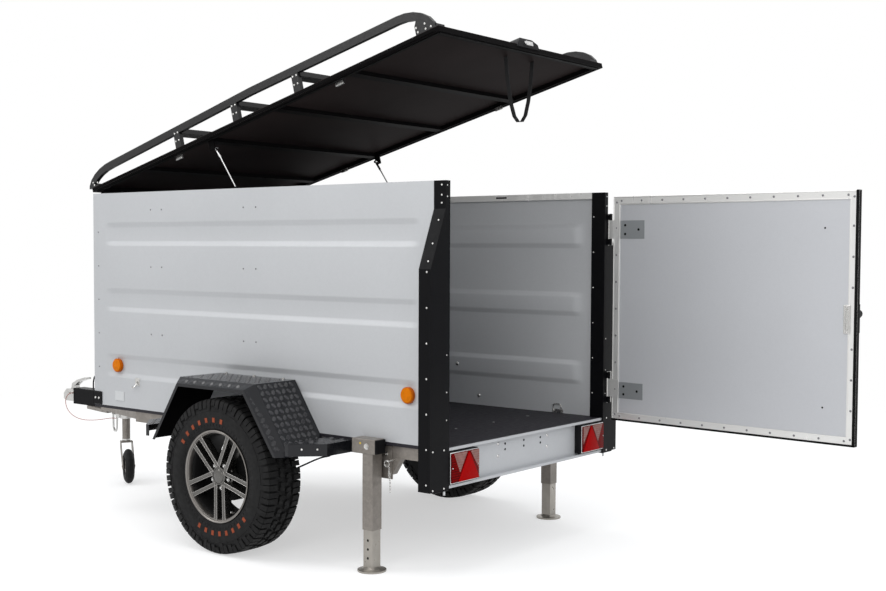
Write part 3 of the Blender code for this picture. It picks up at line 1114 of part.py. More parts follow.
# Power lead from the front wall, over the beam and down into it. Places are ahead of the front wall.
LEAD = 0.009
LEAD_ROUTE = (
    (FIT, -0.060, 0.660), (0.025, -0.060, 0.660), (0.060, -0.059, 0.655), (0.110, -0.057, 0.638),
    (0.190, -0.054, 0.606), (0.300, -0.050, 0.573), (0.420, -0.045, 0.552), (0.540, -0.038, 0.541),
    (0.640, -0.031, 0.5365), (0.730, -0.026, 0.5355), (0.800, -0.024, 0.5400), (0.850, -0.024, 0.5610),
    (0.885, -0.025, 0.5960), (0.915, -0.027, 0.6210), (0.945, -0.029, 0.6200), (0.967, -0.030, 0.6000),
    (0.976, -0.030, 0.5680), (0.976, -0.030, BEAM_BOTTOM + BEAM_HEIGHT + FIT),
)
cable("power_lead", [(BOX_LENGTH + x, y, z) for x, y, z in LEAD_ROUTE], LEAD, "black_plastic", sides=3)

# Brake cable from the left trailing arm's rear end up to the side rail. Places are behind the wheel's centre.
BRAKE_ROUTE = (
    (0.070, 0.3595, 0.0), (0.100, 0.357, 0.0), (0.140, 0.362, 0.0), (0.176, 0.376, 0.001), (0.240, 0.403, 0.003),
    (0.313, 0.434, 0.007), (0.370, 0.454, 0.013), (0.412, 0.464, 0.019), (0.436, 0.474, 0.023),
    (0.443, 0.490, 0.024),
)
arm_end = Vector((AXLE_X - 0.03, arm_y, AXLE_Z))
arm_run = (arm_end - Vector((axle_x + 0.03, arm_y, axle_z))).normalized()
brake_top = (AXLE_X - 0.443, arm_y + 0.024, RAIL_BOTTOM - FIT)
brake_line = [(AXLE_X - back, arm_y + out, z) for back, z, out in BRAKE_ROUTE]
cable("brake_cable_left", [arm_end + FIT * arm_run, *brake_line, brake_top], 0.008, "black_plastic", sides=3)
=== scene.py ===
# Looks of the box trailer: materials, fine pieces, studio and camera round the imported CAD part.
# Trailer coordinates as in the part's source, in metres: x = 0 at the rear end of the side walls,
# y is positive on the left and z = 0 on the ground. Pieces of the door and of the lid are laid out
# shut and turned to where they stand open.
import math

import bmesh
import bpy
from mathutils import Matrix, Vector


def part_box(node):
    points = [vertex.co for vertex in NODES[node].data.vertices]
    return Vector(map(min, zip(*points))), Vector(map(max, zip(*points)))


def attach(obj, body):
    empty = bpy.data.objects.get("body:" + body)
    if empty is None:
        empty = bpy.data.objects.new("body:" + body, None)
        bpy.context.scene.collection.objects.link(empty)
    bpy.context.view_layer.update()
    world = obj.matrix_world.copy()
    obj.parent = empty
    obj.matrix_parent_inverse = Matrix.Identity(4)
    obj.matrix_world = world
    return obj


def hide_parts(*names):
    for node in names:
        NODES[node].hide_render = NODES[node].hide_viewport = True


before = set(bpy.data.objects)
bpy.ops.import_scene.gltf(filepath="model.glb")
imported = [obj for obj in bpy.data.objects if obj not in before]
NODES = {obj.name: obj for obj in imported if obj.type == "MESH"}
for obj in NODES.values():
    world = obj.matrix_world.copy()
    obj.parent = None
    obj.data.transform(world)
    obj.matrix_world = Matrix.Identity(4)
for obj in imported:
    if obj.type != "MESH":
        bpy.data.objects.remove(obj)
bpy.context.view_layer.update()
SIDES = (("left", 1), ("right", -1))

MIDDLE = -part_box("side_wall_left")[0][0]     # from the walls' rear end to the frame's origin
ROOT = Matrix.Translation((-MIDDLE, 0, 0))


def swung(hinge, degrees, axis):
    """From trailer coordinates of a shut door or lid to the frame's, with it open."""
    hinge = Vector(hinge)
    turn = Matrix.Rotation(math.radians(degrees), 4, axis)
    return ROOT @ Matrix.Translation(hinge) @ turn @ Matrix.Translation(-hinge)


LID_HINGE = Vector((2.4265, 0, 1.7295))
PLACES = {"door": swung((-0.053, -0.668, 0), 86.0, "Z"), "lid": swung(LID_HINGE, 14.45, "Y")}

OUTER = 0.658               # y of the walls' outer face
INNER = 0.6555              # y of the walls' inner face
FLOOR = 0.5757              # top of the floor board
TYRE_R = 0.3665
TYRE_Y = 0.845
AXLE = Vector((1.10, 0, 0.3665))


# ---------------------------------------------------------------- materials
SLOTS = {}                  # the record's slot of each material; add() looks up a fine piece's slot here but keeps it nowhere


def feed(tree, node, inputs):
    """Set each input to a value, or link it to another node's output."""
    for key, value in inputs.items():
        if isinstance(value, bpy.types.NodeSocket):
            tree.links.new(value, node.inputs[key])
        else:
            node.inputs[key].default_value = value
    return node


def node(tree, kind, inputs=None, **settings):
    made = tree.nodes.new("ShaderNode" + kind)
    for name, value in settings.items():
        setattr(made, name, value)
    return feed(tree, made, inputs or {})


def graph(name):
    material = bpy.data.materials.new(name)
    material.use_nodes = True
    tree = material.node_tree
    return material, tree, tree.nodes["Principled BSDF"]


def noise(tree, where, scale, detail):
    made = node(tree, "TexNoise", {"Scale": scale, "Detail": detail, "Vector": where})
    return made.outputs["Fac"]


def ranged(tree, source, low, high, to_low, to_high):
    made = node(tree, "MapRange", {"From Min": low, "From Max": high, "To Min": to_low,
                                   "To Max": to_high, "Value": source})
    return made.outputs["Result"]


def relief(tree, shader, height, strength):
    made = node(tree, "Bump", {"Strength": strength, "Distance": 0.001, "Height": height})
    feed(tree, shader, {"Normal": made.outputs["Normal"]})


def surface(name, colour, rough, metal=0.0, slot=None, blotch=0.0, blotch_scale=6.0, uneven=0.0,
            uneven_scale=40.0, bump=0.0, bump_scale=300.0, cells=0.0, cell_scale=90.0,
            stretch=(1, 1, 1), gloss=0.5):
    """A finish with soft blotches, uneven roughness, fine bump and, for zinc, crystal cells."""
    material, tree, shader = graph(name)
    SLOTS[material.name] = slot
    colour = (*colour, 1)
    feed(tree, shader, {"Base Color": colour, "Roughness": rough, "Metallic": metal,
                        "Specular IOR Level": gloss})
    spot = node(tree, "TexCoord").outputs["Object"]
    where = node(tree, "Mapping", {"Scale": stretch, "Vector": spot}).outputs["Vector"]
    if blotch or cells:
        if cells:
            cell = node(tree, "TexVoronoi", {"Scale": cell_scale, "Vector": where})
            grey = node(tree, "SeparateColor", {"Color": cell.outputs["Color"]})
            parts = {0: grey.outputs["Red"], 1: cells, 2: noise(tree, where, blotch_scale, 4)}
            source = node(tree, "Math", parts, operation="MULTIPLY_ADD").outputs["Value"]
        else:
            source = noise(tree, where, blotch_scale, 5)
        tone = ranged(tree, source, 0.3, 0.7 + cells, 1.0 - max(blotch, cells * 0.6), 1.0)
        mix = node(tree, "Mix", data_type="RGBA", blend_type="MULTIPLY")
        feed(tree, mix, {"Factor": 1.0, "A": colour, "B": tone})
        feed(tree, shader, {"Base Color": mix.outputs["Result"]})
    if uneven:
        source = noise(tree, where, uneven_scale, 6)
        low, high = max(0.02, rough - uneven), min(1.0, rough + uneven)
        feed(tree, shader, {"Roughness": ranged(tree, source, 0.3, 0.7, low, high)})
    if bump:
        relief(tree, shader, noise(tree, where, bump_scale, 3), bump)
    return material


def webbing(name, colour, rough, threads):
    """A woven band: fine ribs across a matt base."""
    material, tree, shader = graph(name)
    feed(tree, shader, {"Base Color": (*colour, 1), "Roughness": rough})
    spot = node(tree, "TexCoord").outputs["Object"]
    wave = node(tree, "TexWave", {"Scale": threads, "Distortion": 1.5, "Vector": spot})
    relief(tree, shader, wave.outputs["Fac"], 0.6)
    return material


WALL = surface("wall_sheet", (0.545, 0.555, 0.570), 0.50, 0.20, "wall_sheet", blotch=0.05,
               blotch_scale=1.1, uneven=0.05, cells=0.14, cell_scale=135, bump=0.10,
               bump_scale=420, gloss=0.3)
DOOR_SHEET = surface("door_sheet", (0.56, 0.57, 0.595), 0.46, 0.35, blotch=0.06, blotch_scale=0.9,
                     uneven=0.04, cells=0.12, cell_scale=135, bump=0.06, bump_scale=420)
ALUMINIUM = surface("aluminium_strip", (0.74, 0.735, 0.72), 0.34, 0.60, "wall_sheet", uneven=0.08,
                    bump=0.05, bump_scale=500, stretch=(1, 1, 0.1))
GALVANISED = surface("galvanised", (0.27, 0.245, 0.22), 0.42, 0.60, "galvanised", blotch=0.30,
                     blotch_scale=9, uneven=0.14, uneven_scale=30, cells=0.35, cell_scale=85,
                     bump=0.12, bump_scale=120)
BRIGHT_ZINC = surface("bright_zinc", (0.38, 0.355, 0.32), 0.36, 0.70, blotch=0.20,
                      blotch_scale=14, uneven=0.10)
ZINC = surface("zinc", (0.58, 0.575, 0.56), 0.26, 0.95, "zinc", blotch=0.12, blotch_scale=30,
               uneven=0.08)
PLATE_ZINC = surface("plate_zinc", (0.30, 0.315, 0.325), 0.38, 0.45, "zinc", uneven=0.05)
# painted shade: zinc rivet and bolt heads darkened to the shadowed dots they show
RIVET = surface("rivet", (0.20, 0.20, 0.21), 0.40, 0.80, "zinc", uneven=0.08)
STEEL = surface("bright_steel", (0.66, 0.66, 0.66), 0.18, 1.0, "zinc", uneven=0.05)
BLACK = surface("black_coat", (0.0040, 0.0040, 0.0048), 0.36, 0.0, "black_steel", blotch=0.15,
                uneven=0.05, bump=0.12, bump_scale=900, gloss=0.07)
RACK_BLACK = surface("rack_coat", (0.0050, 0.0050, 0.0055), 0.34, blotch=0.15, uneven=0.05,
                     bump=0.15, bump_scale=900, gloss=0.35)
LID_BLACK = surface("lid_coat", (0.0060, 0.0056, 0.0058), 0.45, blotch=0.15, bump=0.12,
                    bump_scale=900, gloss=0.012)
# painted reflection: the lid's black underside sheet is coloured brown, with broad blotches, for
# the brownish reflection on it
LID_UNDERSIDE_REFLECTION = surface("lid_underside_painted_reflection", (0.028, 0.0215, 0.0210), 0.55, blotch=0.35, blotch_scale=1.6,
                    bump=0.05, bump_scale=400, gloss=0.012)
LID_TOP = surface("lid_top", (0.0075, 0.0074, 0.0080), 0.42, blotch=0.10, blotch_scale=3,
                  bump=0.12, bump_scale=900, gloss=0.25)
PLASTIC = surface("black_plastic", (0.006, 0.006, 0.007), 0.48, 0.0, "black_plastic", uneven=0.08,
                  bump=0.3, bump_scale=1200, gloss=0.12)
CHEQUER = surface("chequer", (0.011, 0.0115, 0.014), 0.16, 0.0, "chequer", blotch=0.18,
                  blotch_scale=14, uneven=0.04, bump=0.06, bump_scale=400, gloss=0.30)
# painted highlight: the raised bars take a lighter colour than the plate for the bright specks on
# them
TREAD = surface("chequer_tread", (0.040, 0.040, 0.044), 0.20, 0.0, "chequer", uneven=0.05,
                gloss=0.70)
# painted shade: the chequer sheet's faces towards the wheel, near black
FENDER_INSIDE_SHADE = surface("fender_inside", (0.0022, 0.0022, 0.0026), 0.60, blotch=0.3, gloss=0.01)
RUBBER = surface("tyre_rubber", (0.0055, 0.0054, 0.0056), 0.70, 0.0, "tyre", blotch=0.25,
                 blotch_scale=25, uneven=0.10, bump=0.30, bump_scale=500, gloss=0.22)
# rubber seals; black discs and strips of it also stand for holes and slots, their dark inside
# painted shade
SEAL = surface("rubber_seal_and_hole_shade", (0.004, 0.004, 0.004), 0.62, 0.0, "black_plastic", uneven=0.06,
               bump=0.1, gloss=0.08)
ORANGE = surface("orange_bar", (0.33, 0.075, 0.035), 0.60, 0.0, "tyre", blotch=0.25,
                 blotch_scale=40, bump=0.2, gloss=0.1)
SPOKE = surface("spoke_alloy", (0.132, 0.128, 0.121), 0.26, 0.95, "alloy", blotch=0.15,
                blotch_scale=30, uneven=0.05)
RIM_BAND = surface("rim_band", (0.24, 0.225, 0.21), 0.34, 0.90, "alloy", blotch=0.2,
                   blotch_scale=12, uneven=0.06)
# painted shade: the alloy rim's well and the drum inside the wheel, near black
WHEEL_INSIDE_SHADE = surface("wheel_inside_painted_shade", (0.010, 0.010, 0.010), 0.50, 0.0, "black_steel", blotch=0.2,
                   blotch_scale=12, gloss=0.1)
# partly a polished finish on the spokes' edges and partly painted highlight: strips brighter than
# the spokes where rounded edges catch light
POLISH_AND_HIGHLIGHT = surface("polished_alloy_and_highlight", (0.42, 0.405, 0.39), 0.20, 1.0, "alloy", uneven=0.05,
                   bump=0.03, bump_scale=300)
FLOOR_FILM = surface("floor_film", (0.020, 0.0185, 0.0235), 0.55, 0.0, "floor_board", blotch=0.10,
                     blotch_scale=6, uneven=0.05, bump=0.25, bump_scale=420, gloss=0.20)
RED_LENS = surface("red_lens", (0.36, 0.0030, 0.0032), 0.22, 0.0, "lamp_red", bump=0.25,
                   bump_scale=380, gloss=0.02)
RED_DARK = surface("red_reflector", (0.15, 0.0016, 0.0016), 0.28, 0.0, "lamp_red", blotch=0.4,
                   blotch_scale=30, bump=0.6, bump_scale=220, gloss=0.03)
CLEAR_LENS = surface("clear_lens", (0.34, 0.17, 0.15), 0.20, 0.0, "lamp_red", blotch=0.3,
                     blotch_scale=40, bump=0.4, bump_scale=300, gloss=0.15)
AMBER = surface("amber_lens", (0.74, 0.195, 0.0015), 0.30, 0.0, "lamp_red", blotch=0.2,
                blotch_scale=60, bump=0.5, bump_scale=420, gloss=0.06)
AMBER_RIM = surface("amber_rim", (0.50, 0.105, 0.002), 0.35, 0.0, "lamp_red", bump=0.3,
                    gloss=0.06)
RED_CABLE = surface("red_cable", (0.36, 0.10, 0.075), 0.35, bump=0.2, bump_scale=900)
BLACK_CABLE = surface("black_cable", (0.005, 0.005, 0.006), 0.48, bump=0.1, gloss=0.12)
STICKER = surface("bare_patch", (0.60, 0.61, 0.62), 0.30, 0.10, "wall_sheet")
YELLOW = surface("yellow_dot", (0.65, 0.47, 0.03), 0.40, 0.0, "black_plastic")
WEBBING = webbing("webbing", (0.014, 0.014, 0.015), 0.85, 260)

FINISH = (
    (WALL, "side_wall_left side_wall_right front_wall rear_sill"),
    (ALUMINIUM, "top_rail door_frame"),
    (DOOR_SHEET, "door_panel"),
    (FLOOR_FILM, "floor_board"),
    (BLACK, "corner_post_left corner_post_right drawbar_beam lid_hinge "
            "strut_cylinder_left strut_cylinder_right"),
    (GALVANISED, "floor_frame drawbar_arms axle_beam leg_holder_left leg_holder_right "
                 "jockey_column jockey_fork"),
    (BRIGHT_ZINC, "leg_foot_left leg_foot_right"),
    (ZINC, "coupling_head jockey_clamp"),
    (STEEL, "strut_rod_left strut_rod_right"),
    (CHEQUER, "fender_left fender_right step_rear_left step_rear_right "
              "step_front_left step_front_right"),
    (PLASTIC, "door_latch lid_latch"),
    (LID_BLACK, "lid_frame"),
    (LID_UNDERSIDE_REFLECTION, "lid_skin"),
    (RACK_BLACK, "roof_rack"),
    (RED_CABLE, "breakaway_cable"),
    (BLACK_CABLE, "power_lead brake_cable_left"),
    (WEBBING, "lid_strap"),
    (RED_LENS, "tail_lamp_left tail_lamp_right"),
    (RUBBER, "tyre_left tyre_right jockey_wheel"),
    (SPOKE, "rim_left rim_right"),
)
for material, names in FINISH:
    for name in names.split():
        NODES[name].data.materials.clear()
        NODES[name].data.materials.append(material)


def repaint(name, material, chosen):
    """Give a second material to the faces of a CAD node that chosen(normal, centre) picks."""
    mesh = NODES[name].data
    turn = NODES[name].matrix_world.to_3x3()
    mesh.materials.append(material)
    for face in mesh.polygons:
        if chosen(turn @ face.normal, turn @ face.center):
            face.material_index = 1


# ---------------------------------------------------------------- shapes
def block(low, high, bevel=0.0, segments=1):
    """A box between two corners, given in any order."""
    low, high = zip(*(sorted(pair) for pair in zip(low, high)))
    shape = bmesh.new()
    bmesh.ops.create_cube(shape, size=1.0)
    bmesh.ops.scale(shape, verts=shape.verts, vec=[b - a for a, b in zip(low, high)])
    bmesh.ops.translate(shape, verts=shape.verts, vec=[(a + b) / 2 for a, b in zip(low, high)])
    if bevel:
        bmesh.ops.bevel(shape, geom=shape.edges[:], offset=bevel, segments=segments,
                        affect="EDGES", profile=0.5)
    return shape


def loft(rings, closed=False):
    """A skin over rings of points, with both ends capped or, if closed, joined to each other."""
    shape = bmesh.new()
    rings = [[shape.verts.new(point) for point in ring] for ring in rings]
    count = len(rings[0])
    for here, there in zip(rings, rings[1:] + rings[:1] if closed else rings[1:]):
        for k in range(count):
            j = (k + 1) % count
            shape.faces.new((here[k], here[j], there[j], there[k]))
    if not closed:
        shape.faces.new(rings[0][::-1])
        shape.faces.new(rings[-1])
    bmesh.ops.recalc_face_normals(shape, faces=shape.faces)
    return shape


def prism(outline, low, high, bevel=0.0):
    """A flat piece with an outline of (y, z) pairs between two values of x."""
    shape = loft([[(x, *pair) for pair in outline] for x in (low, high)])
    if bevel:
        bmesh.ops.bevel(shape, geom=shape.edges[:], offset=bevel, segments=2, affect="EDGES",
                        profile=0.5)
    return shape


def hull(points):
    shape = bmesh.new()
    for point in points:
        shape.verts.new(point)
    bmesh.ops.convex_hull(shape, input=shape.verts)
    loose = [v for v in shape.verts if not v.link_faces]
    bmesh.ops.delete(shape, geom=loose, context="VERTS")
    bmesh.ops.recalc_face_normals(shape, faces=shape.faces)
    return shape


def circle(radius, steps):
    """Pairs round a circle, from the first axis towards the second."""
    turns = [2 * math.pi * k / steps for k in range(steps)]
    return [(radius * math.cos(turn), radius * math.sin(turn)) for turn in turns]


def lathe(profile, axis, centre, steps):
    """A closed profile of (radius, place along the axis) pairs, turned round the axis."""
    along = "xyz".index(axis)
    rings = []
    for first, second in circle(1.0, steps):
        ring = []
        for radius, at in profile:
            point = [0.0, 0.0, 0.0]
            point[along] = centre[along] + at
            point[(along + 1) % 3] = centre[(along + 1) % 3] + radius * first
            point[(along + 2) % 3] = centre[(along + 2) % 3] + radius * second
            ring.append(point)
        rings.append(ring)
    shape = loft(rings, closed=True)
    bmesh.ops.remove_doubles(shape, verts=shape.verts, dist=0.000001)
    bmesh.ops.recalc_face_normals(shape, faces=shape.faces)
    return shape


def rod(start, end, diameter, sides=20, end_diameter=None):
    start, end = Vector(start), Vector(end)
    span = end - start
    turn = span.to_track_quat("Z", "Y").to_matrix().to_4x4()
    shape = bmesh.new()
    bmesh.ops.create_cone(shape, cap_ends=True, segments=sides, radius1=diameter / 2,
                          radius2=(end_diameter or diameter) / 2, depth=span.length,
                          matrix=Matrix.Translation((start + end) / 2) @ turn)
    return shape


def smooth_line(points, spacing):
    """Points along a smooth curve through the given ones."""
    points = [Vector(p) for p in points]
    padded = [2 * points[0] - points[1], *points, 2 * points[-1] - points[-2]]
    line = []
    for a, b, c, d in zip(padded, padded[1:], padded[2:], padded[3:]):
        steps = max(1, round((c - b).length / spacing))
        for k in range(steps):
            t = k / steps
            line.append(0.5 * (2 * b + (c - a) * t + (2 * a - 5 * b + 4 * c - d) * t * t
                               + (3 * b - a - 3 * c + d) * t * t * t))
    line.append(points[-1])
    return line


def pipe(points, diameter, sides=10, closed=False):
    """A round bar along points."""
    points = [Vector(p) for p in points]
    count = len(points)
    rings = []
    side = None
    for i, at in enumerate(points):
        if closed:
            run = points[(i + 1) % count] - points[i - 1]
        else:
            run = points[min(i + 1, count - 1)] - points[max(i - 1, 0)]
        run.normalize()
        side = side or run.orthogonal().normalized()
        side = (side - run * side.dot(run)).normalized()
        up = run.cross(side)
        rings.append([at + side * a + up * b for a, b in circle(diameter / 2, sides)])
    return loft(rings, closed)


SUNK = 0.0004               # how deep a head's foot is let into the face


def head(at, normal, diameter, height=None, kind="dome"):
    """A rivet's dome, a hexagon bolt on a washer or a flat disc, standing on a face; the flat disc
    is a plug, or in black the painted shade of a hole.
    """
    height = height or diameter * 0.32
    turn = Vector(normal).normalized().to_track_quat("Z", "Y").to_matrix().to_4x4()
    if kind == "dome":
        shape = lathe([(diameter / 2, -SUNK), (diameter / 2, height * 0.15),
                       (diameter * 0.42, height * 0.6), (diameter * 0.25, height * 0.92),
                       (0.0, height), (0.0, -SUNK)], "z", (0, 0, 0), 14)
    elif kind == "hex":
        shape = rod((0, 0, -SUNK), (0, 0, height * 0.25), diameter * 1.35, 20)
        merge(shape, rod((0, 0, height * 0.2), (0, 0, height), diameter * 1.08, 6),
              rod((0, 0, height * 0.9), (0, 0, height * 1.3), diameter * 0.5, 12))
    else:
        shape = rod((0, 0, -SUNK), (0, 0, height), diameter, 20)
    bmesh.ops.transform(shape, verts=shape.verts, matrix=Matrix.Translation(at) @ turn)
    return shape


def sided(shape, side, at=(0, 0, 0)):
    """Move a left-hand shape to a place, mirrored for the right, which turns its faces inward."""
    mirror = Matrix.Scale(side, 4, (0, 1, 0))
    bmesh.ops.transform(shape, verts=shape.verts, matrix=Matrix.Translation(at) @ mirror)
    return shape


def heads(places, normal, diameter, height=None, kind="dome"):
    return [head(at, normal, diameter, height, kind) for at in places]


def merge(shape, *others):
    for other in others:
        mesh = bpy.data.meshes.new("part")
        other.to_mesh(mesh)
        other.free()
        shape.from_mesh(mesh)
        bpy.data.meshes.remove(mesh)
    return shape


def add(name, shapes, material, body="chassis", place=None, slot=None, smooth=35, replaces=(),
        bevel=0.0):
    """One object from a list of bmeshes, riding on a body."""
    whole = merge(bmesh.new(), *(shapes if isinstance(shapes, (list, tuple)) else [shapes]))
    bmesh.ops.transform(whole, verts=whole.verts, matrix=place or PLACES.get(body, ROOT))
    mesh = bpy.data.meshes.new(name)
    whole.to_mesh(mesh)
    whole.free()
    mesh.shade_smooth()
    mesh.set_sharp_from_angle(angle=math.radians(smooth))
    mesh.materials.append(material)
    piece = bpy.data.objects.new(name, mesh)
    bpy.context.scene.collection.objects.link(piece)
    if bevel:
        modifier = piece.modifiers.new("edges", "BEVEL")
        modifier.width = bevel
        modifier.segments = 2
        modifier.limit_method = "ANGLE"
        modifier.angle_limit = math.radians(40)
    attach(piece, body)
    if replaces:
        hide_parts(*replaces)
    slot = slot or SLOTS[material.name]
    return piece


# ---------------------------------------------------------------- walls with soft channel edges
CHANNELS = ((0.730, 0.864), (1.084, 1.217), (1.437, 1.569))     # low and high edge of each
CHANNEL_DEPTH = 0.010
CHANNEL_SLOPE = 0.033       # height of each sloped side
CHANNEL_END = 0.085         # from the sheet's end to the channel's
RUNOUT = 0.085              # length over which a channel reaches its depth
STEPS = 12                  # faces along a slope
SHEET = 0.0025
STRUT_X, STRUT_Z, STUD_Y = 1.1660, 1.500, 0.6083                # the struts' studs on the walls


def ease(t, soft=0.25):
    """From 0 to 1 along a straight slope with rounded ends."""
    t = min(1.0, max(0.0, t))
    if t < soft:
        return t * t / (2 * soft * (1 - soft))
    if t > 1 - soft:
        return 1 - (1 - t) ** 2 / (2 * soft * (1 - soft))
    return (t - soft / 2) / (1 - soft)


def pressed(low_end, high_end, bottom, top, face, inward, along):
    """A wall sheet with its channels pressed inwards."""
    columns = [(low_end, 0.0)]
    columns += [(low_end + CHANNEL_END + RUNOUT * k / STEPS, ease(k / STEPS, 0.4))
                for k in range(STEPS + 1)]
    columns += [(low_end + high_end - run, deep) for run, deep in reversed(columns)]
    slope = [(CHANNEL_SLOPE * k / STEPS, ease(k / STEPS)) for k in range(STEPS + 1)]
    rows = [(bottom, 0.0)]
    for low, high in CHANNELS:
        rows += [(low + rise, deep) for rise, deep in slope]
        rows += [(high - rise, deep) for rise, deep in reversed(slope)]
    rows.append((top, 0.0))
    shape = bmesh.new()
    grids = []
    for layer in (0.0, SHEET):
        grid = []
        for height, row_deep in rows:
            across = [face + inward * (layer + CHANNEL_DEPTH * row_deep * deep)
                      for _, deep in columns]
            grid.append([shape.verts.new((run, y, height) if along == "x" else (y, run, height))
                         for (run, _), y in zip(columns, across)])
        for below, above in zip(grid, grid[1:]):
            for c in range(len(columns) - 1):
                shape.faces.new((below[c], below[c + 1], above[c + 1], above[c]))
        grids.append(grid)
    outer, inner = grids
    for r in range(len(rows) - 1):
        for c in (0, -1):
            shape.faces.new((outer[r][c], outer[r + 1][c], inner[r + 1][c], inner[r][c]))
    for c in range(len(columns) - 1):
        for r in (0, -1):
            shape.faces.new((outer[r][c], outer[r][c + 1], inner[r][c + 1], inner[r][c]))
    bmesh.ops.recalc_face_normals(shape, faces=shape.faces)
    return shape


low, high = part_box("side_wall_left")
for label, side in SIDES:
    sheet = pressed(low[0] + MIDDLE, high[0] + MIDDLE, low[2], high[2], side * OUTER, -side, "x")
    deep = INNER - CHANNEL_DEPTH
    bracket = block((STRUT_X - 0.030, side * (deep - 0.004), STRUT_Z - 0.030),
                    (STRUT_X + 0.030, side * (deep + 0.001), STRUT_Z + 0.040), 0.001)
    stud = rod((STRUT_X, side * STUD_Y, STRUT_Z), (STRUT_X, side * (deep - 0.002), STRUT_Z),
               0.010, 16)
    add(f"wall_{label}", [sheet, bracket, stud], WALL, replaces=(f"side_wall_{label}",))
low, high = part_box("front_wall")
add("wall_front", pressed(low[1], high[1], low[2], high[2], high[0] + MIDDLE, -1, "y"), WALL,
    replaces=("front_wall",))

# ---------------------------------------------------------------- walls: rivets, reflectors, hooks
FRONT_RIVETS = [(2.376, z) for z in (1.515, 1.332, 1.150, 0.967, 0.784)]
WALL_BOLTS = [(x - shift, z) for x, z in ((1.930, 1.629), (1.222, 1.630), (1.930, 1.331),
                                          (1.222, 1.332), (1.930, 0.978), (1.222, 0.978))
              for shift in (0.0, 0.088)]
WALL_RIVET = 0.0085         # diameter
BOLT_RISE = 0.0028
REFLECTORS = ((2.215, 0.799), (0.171, 0.792))
REFLECTOR_BASE = ((0.0, -0.0085), (0.0365, -0.0085), (0.0365, 0.006), (0.034, 0.0075),
                  (0.0, 0.0075))
REFLECTOR_LENS = ((0.0, 0.006), (0.0325, 0.006), (0.0325, 0.010), (0.030, 0.0122),
                  (0.015, 0.0128), (0.0, 0.0130))
HOOK_LINE = ((2.046, 0.010, 0.712), (2.042, 0.020, 0.700), (2.052, 0.026, 0.690),
             (2.066, 0.020, 0.694))                      # x, out from the wall, z
CAP_LOW, CAP_HIGH, CAP_OUT = 0.577, 0.648, 0.0068        # the lower front corner's black cap

for label, side in SIDES:
    face, out = side * OUTER, (0, side, 0)
    rivets = heads([(x, face, z) for x, z in FRONT_RIVETS], out, WALL_RIVET)
    for x, z in WALL_BOLTS:
        rivets.append(head((x, face, z), out, WALL_RIVET, BOLT_RISE))
        rivets.append(head((x, side * INNER, z), (0, -side, 0), WALL_RIVET, BOLT_RISE))
    # the heads in the darkened rivet finish: painted shade
    add(f"wall_rivets_{label}", rivets, RIVET)
    for name, profile, material in (("reflector_bases", REFLECTOR_BASE, AMBER_RIM),
                                    ("reflectors", REFLECTOR_LENS, AMBER)):
        discs = [sided(lathe(profile, "y", (0, 0, 0), 48), side, (x, face, z))
                 for x, z in REFLECTORS]
        add(f"{name}_{label}", discs, material)
    hook = [block((2.028, face - 0.001, 0.700), (2.064, face + 0.004, 0.742), 0.002),
            head((2.046, side * (OUTER + 0.004), 0.721), out, 0.014, 0.007, "hex")]
    curl = [(x, side * (OUTER + away), z) for x, away, z in HOOK_LINE]
    hook.append(pipe(smooth_line(curl, 0.004), 0.007, 10))
    add(f"lashing_hook_{label}", hook, ZINC)
    # the photo's sticker as a bare patch
    patch = block((2.160, face - 0.001, 0.608), (2.238, face + 0.003, 0.660), 0.003)
    add(f"bare_plate_{label}", patch, STICKER)
    cap_face = OUTER + CAP_OUT
    cap = [block((2.352, OUTER + 0.0004, CAP_LOW), (2.4232, cap_face, CAP_HIGH), 0.003),
           block((2.4205, OUTER - 0.050, CAP_LOW), (2.4268, cap_face, CAP_HIGH), 0.003)]
    add(f"corner_cap_{label}", [sided(part, side) for part in cap], BLACK)
    add(f"corner_cap_bolts_{label}",
        heads([(x, side * cap_face, 0.612) for x in (2.374, 2.404)], out, 0.013, 0.005), ZINC)

rings = []
for x in (0.251, 1.210, 2.160):
    for side in (1, -1):
        y = side * (INNER - 0.0004)
        rings.append(block((x - 0.034, y - 0.002, FLOOR + 0.001),
                           (x + 0.034, y + 0.002, FLOOR + 0.020), 0.0015))
        half_loop = ((0.024, 0.005, 0.010), (0.025, 0.006, 0.034), (0.016, 0.007, 0.046))
        loop = [(x - run, y - side * off, FLOOR + rise) for run, off, rise in half_loop]
        loop += [(x + run, y - side * off, FLOOR + rise) for run, off, rise in half_loop[::-1]]
        rings.append(pipe(smooth_line(loop, 0.004), 0.0065, 10))
add("lashing_rings", rings, ZINC)

bolts = []
for side in (1, -1):
    for x, z, sunk in ((0.916, 0.797, CHANNEL_DEPTH), (0.771, 0.629, 0), (1.50, 0.629, 0),
                       (1.95, 0.629, 0)):
        bolts.append(head((x, side * (INNER - sunk), z), (0, -side, 0), 0.022, 0.007))
bolts += heads([(x, y, FLOOR) for y in (-0.45, -0.15, 0.15, 0.45)
                for x in (0.30, 0.86, 1.46, 2.04)], (0, 0, 1), 0.016, 0.002)
add("inside_bolts", bolts, ZINC)

RAIL_INNER = 0.631          # y of the top rail's inner face
# the rail's slots as thin black strips: painted shade of the openings
slots = [block((x - 0.035, side * RAIL_INNER - 0.0006, 1.704),
               (x + 0.035, side * RAIL_INNER + 0.0006, 1.713), 0.0004)
         for x in (0.609, 1.70) for side in (1, -1)]
add("rail_slots", slots, SEAL)

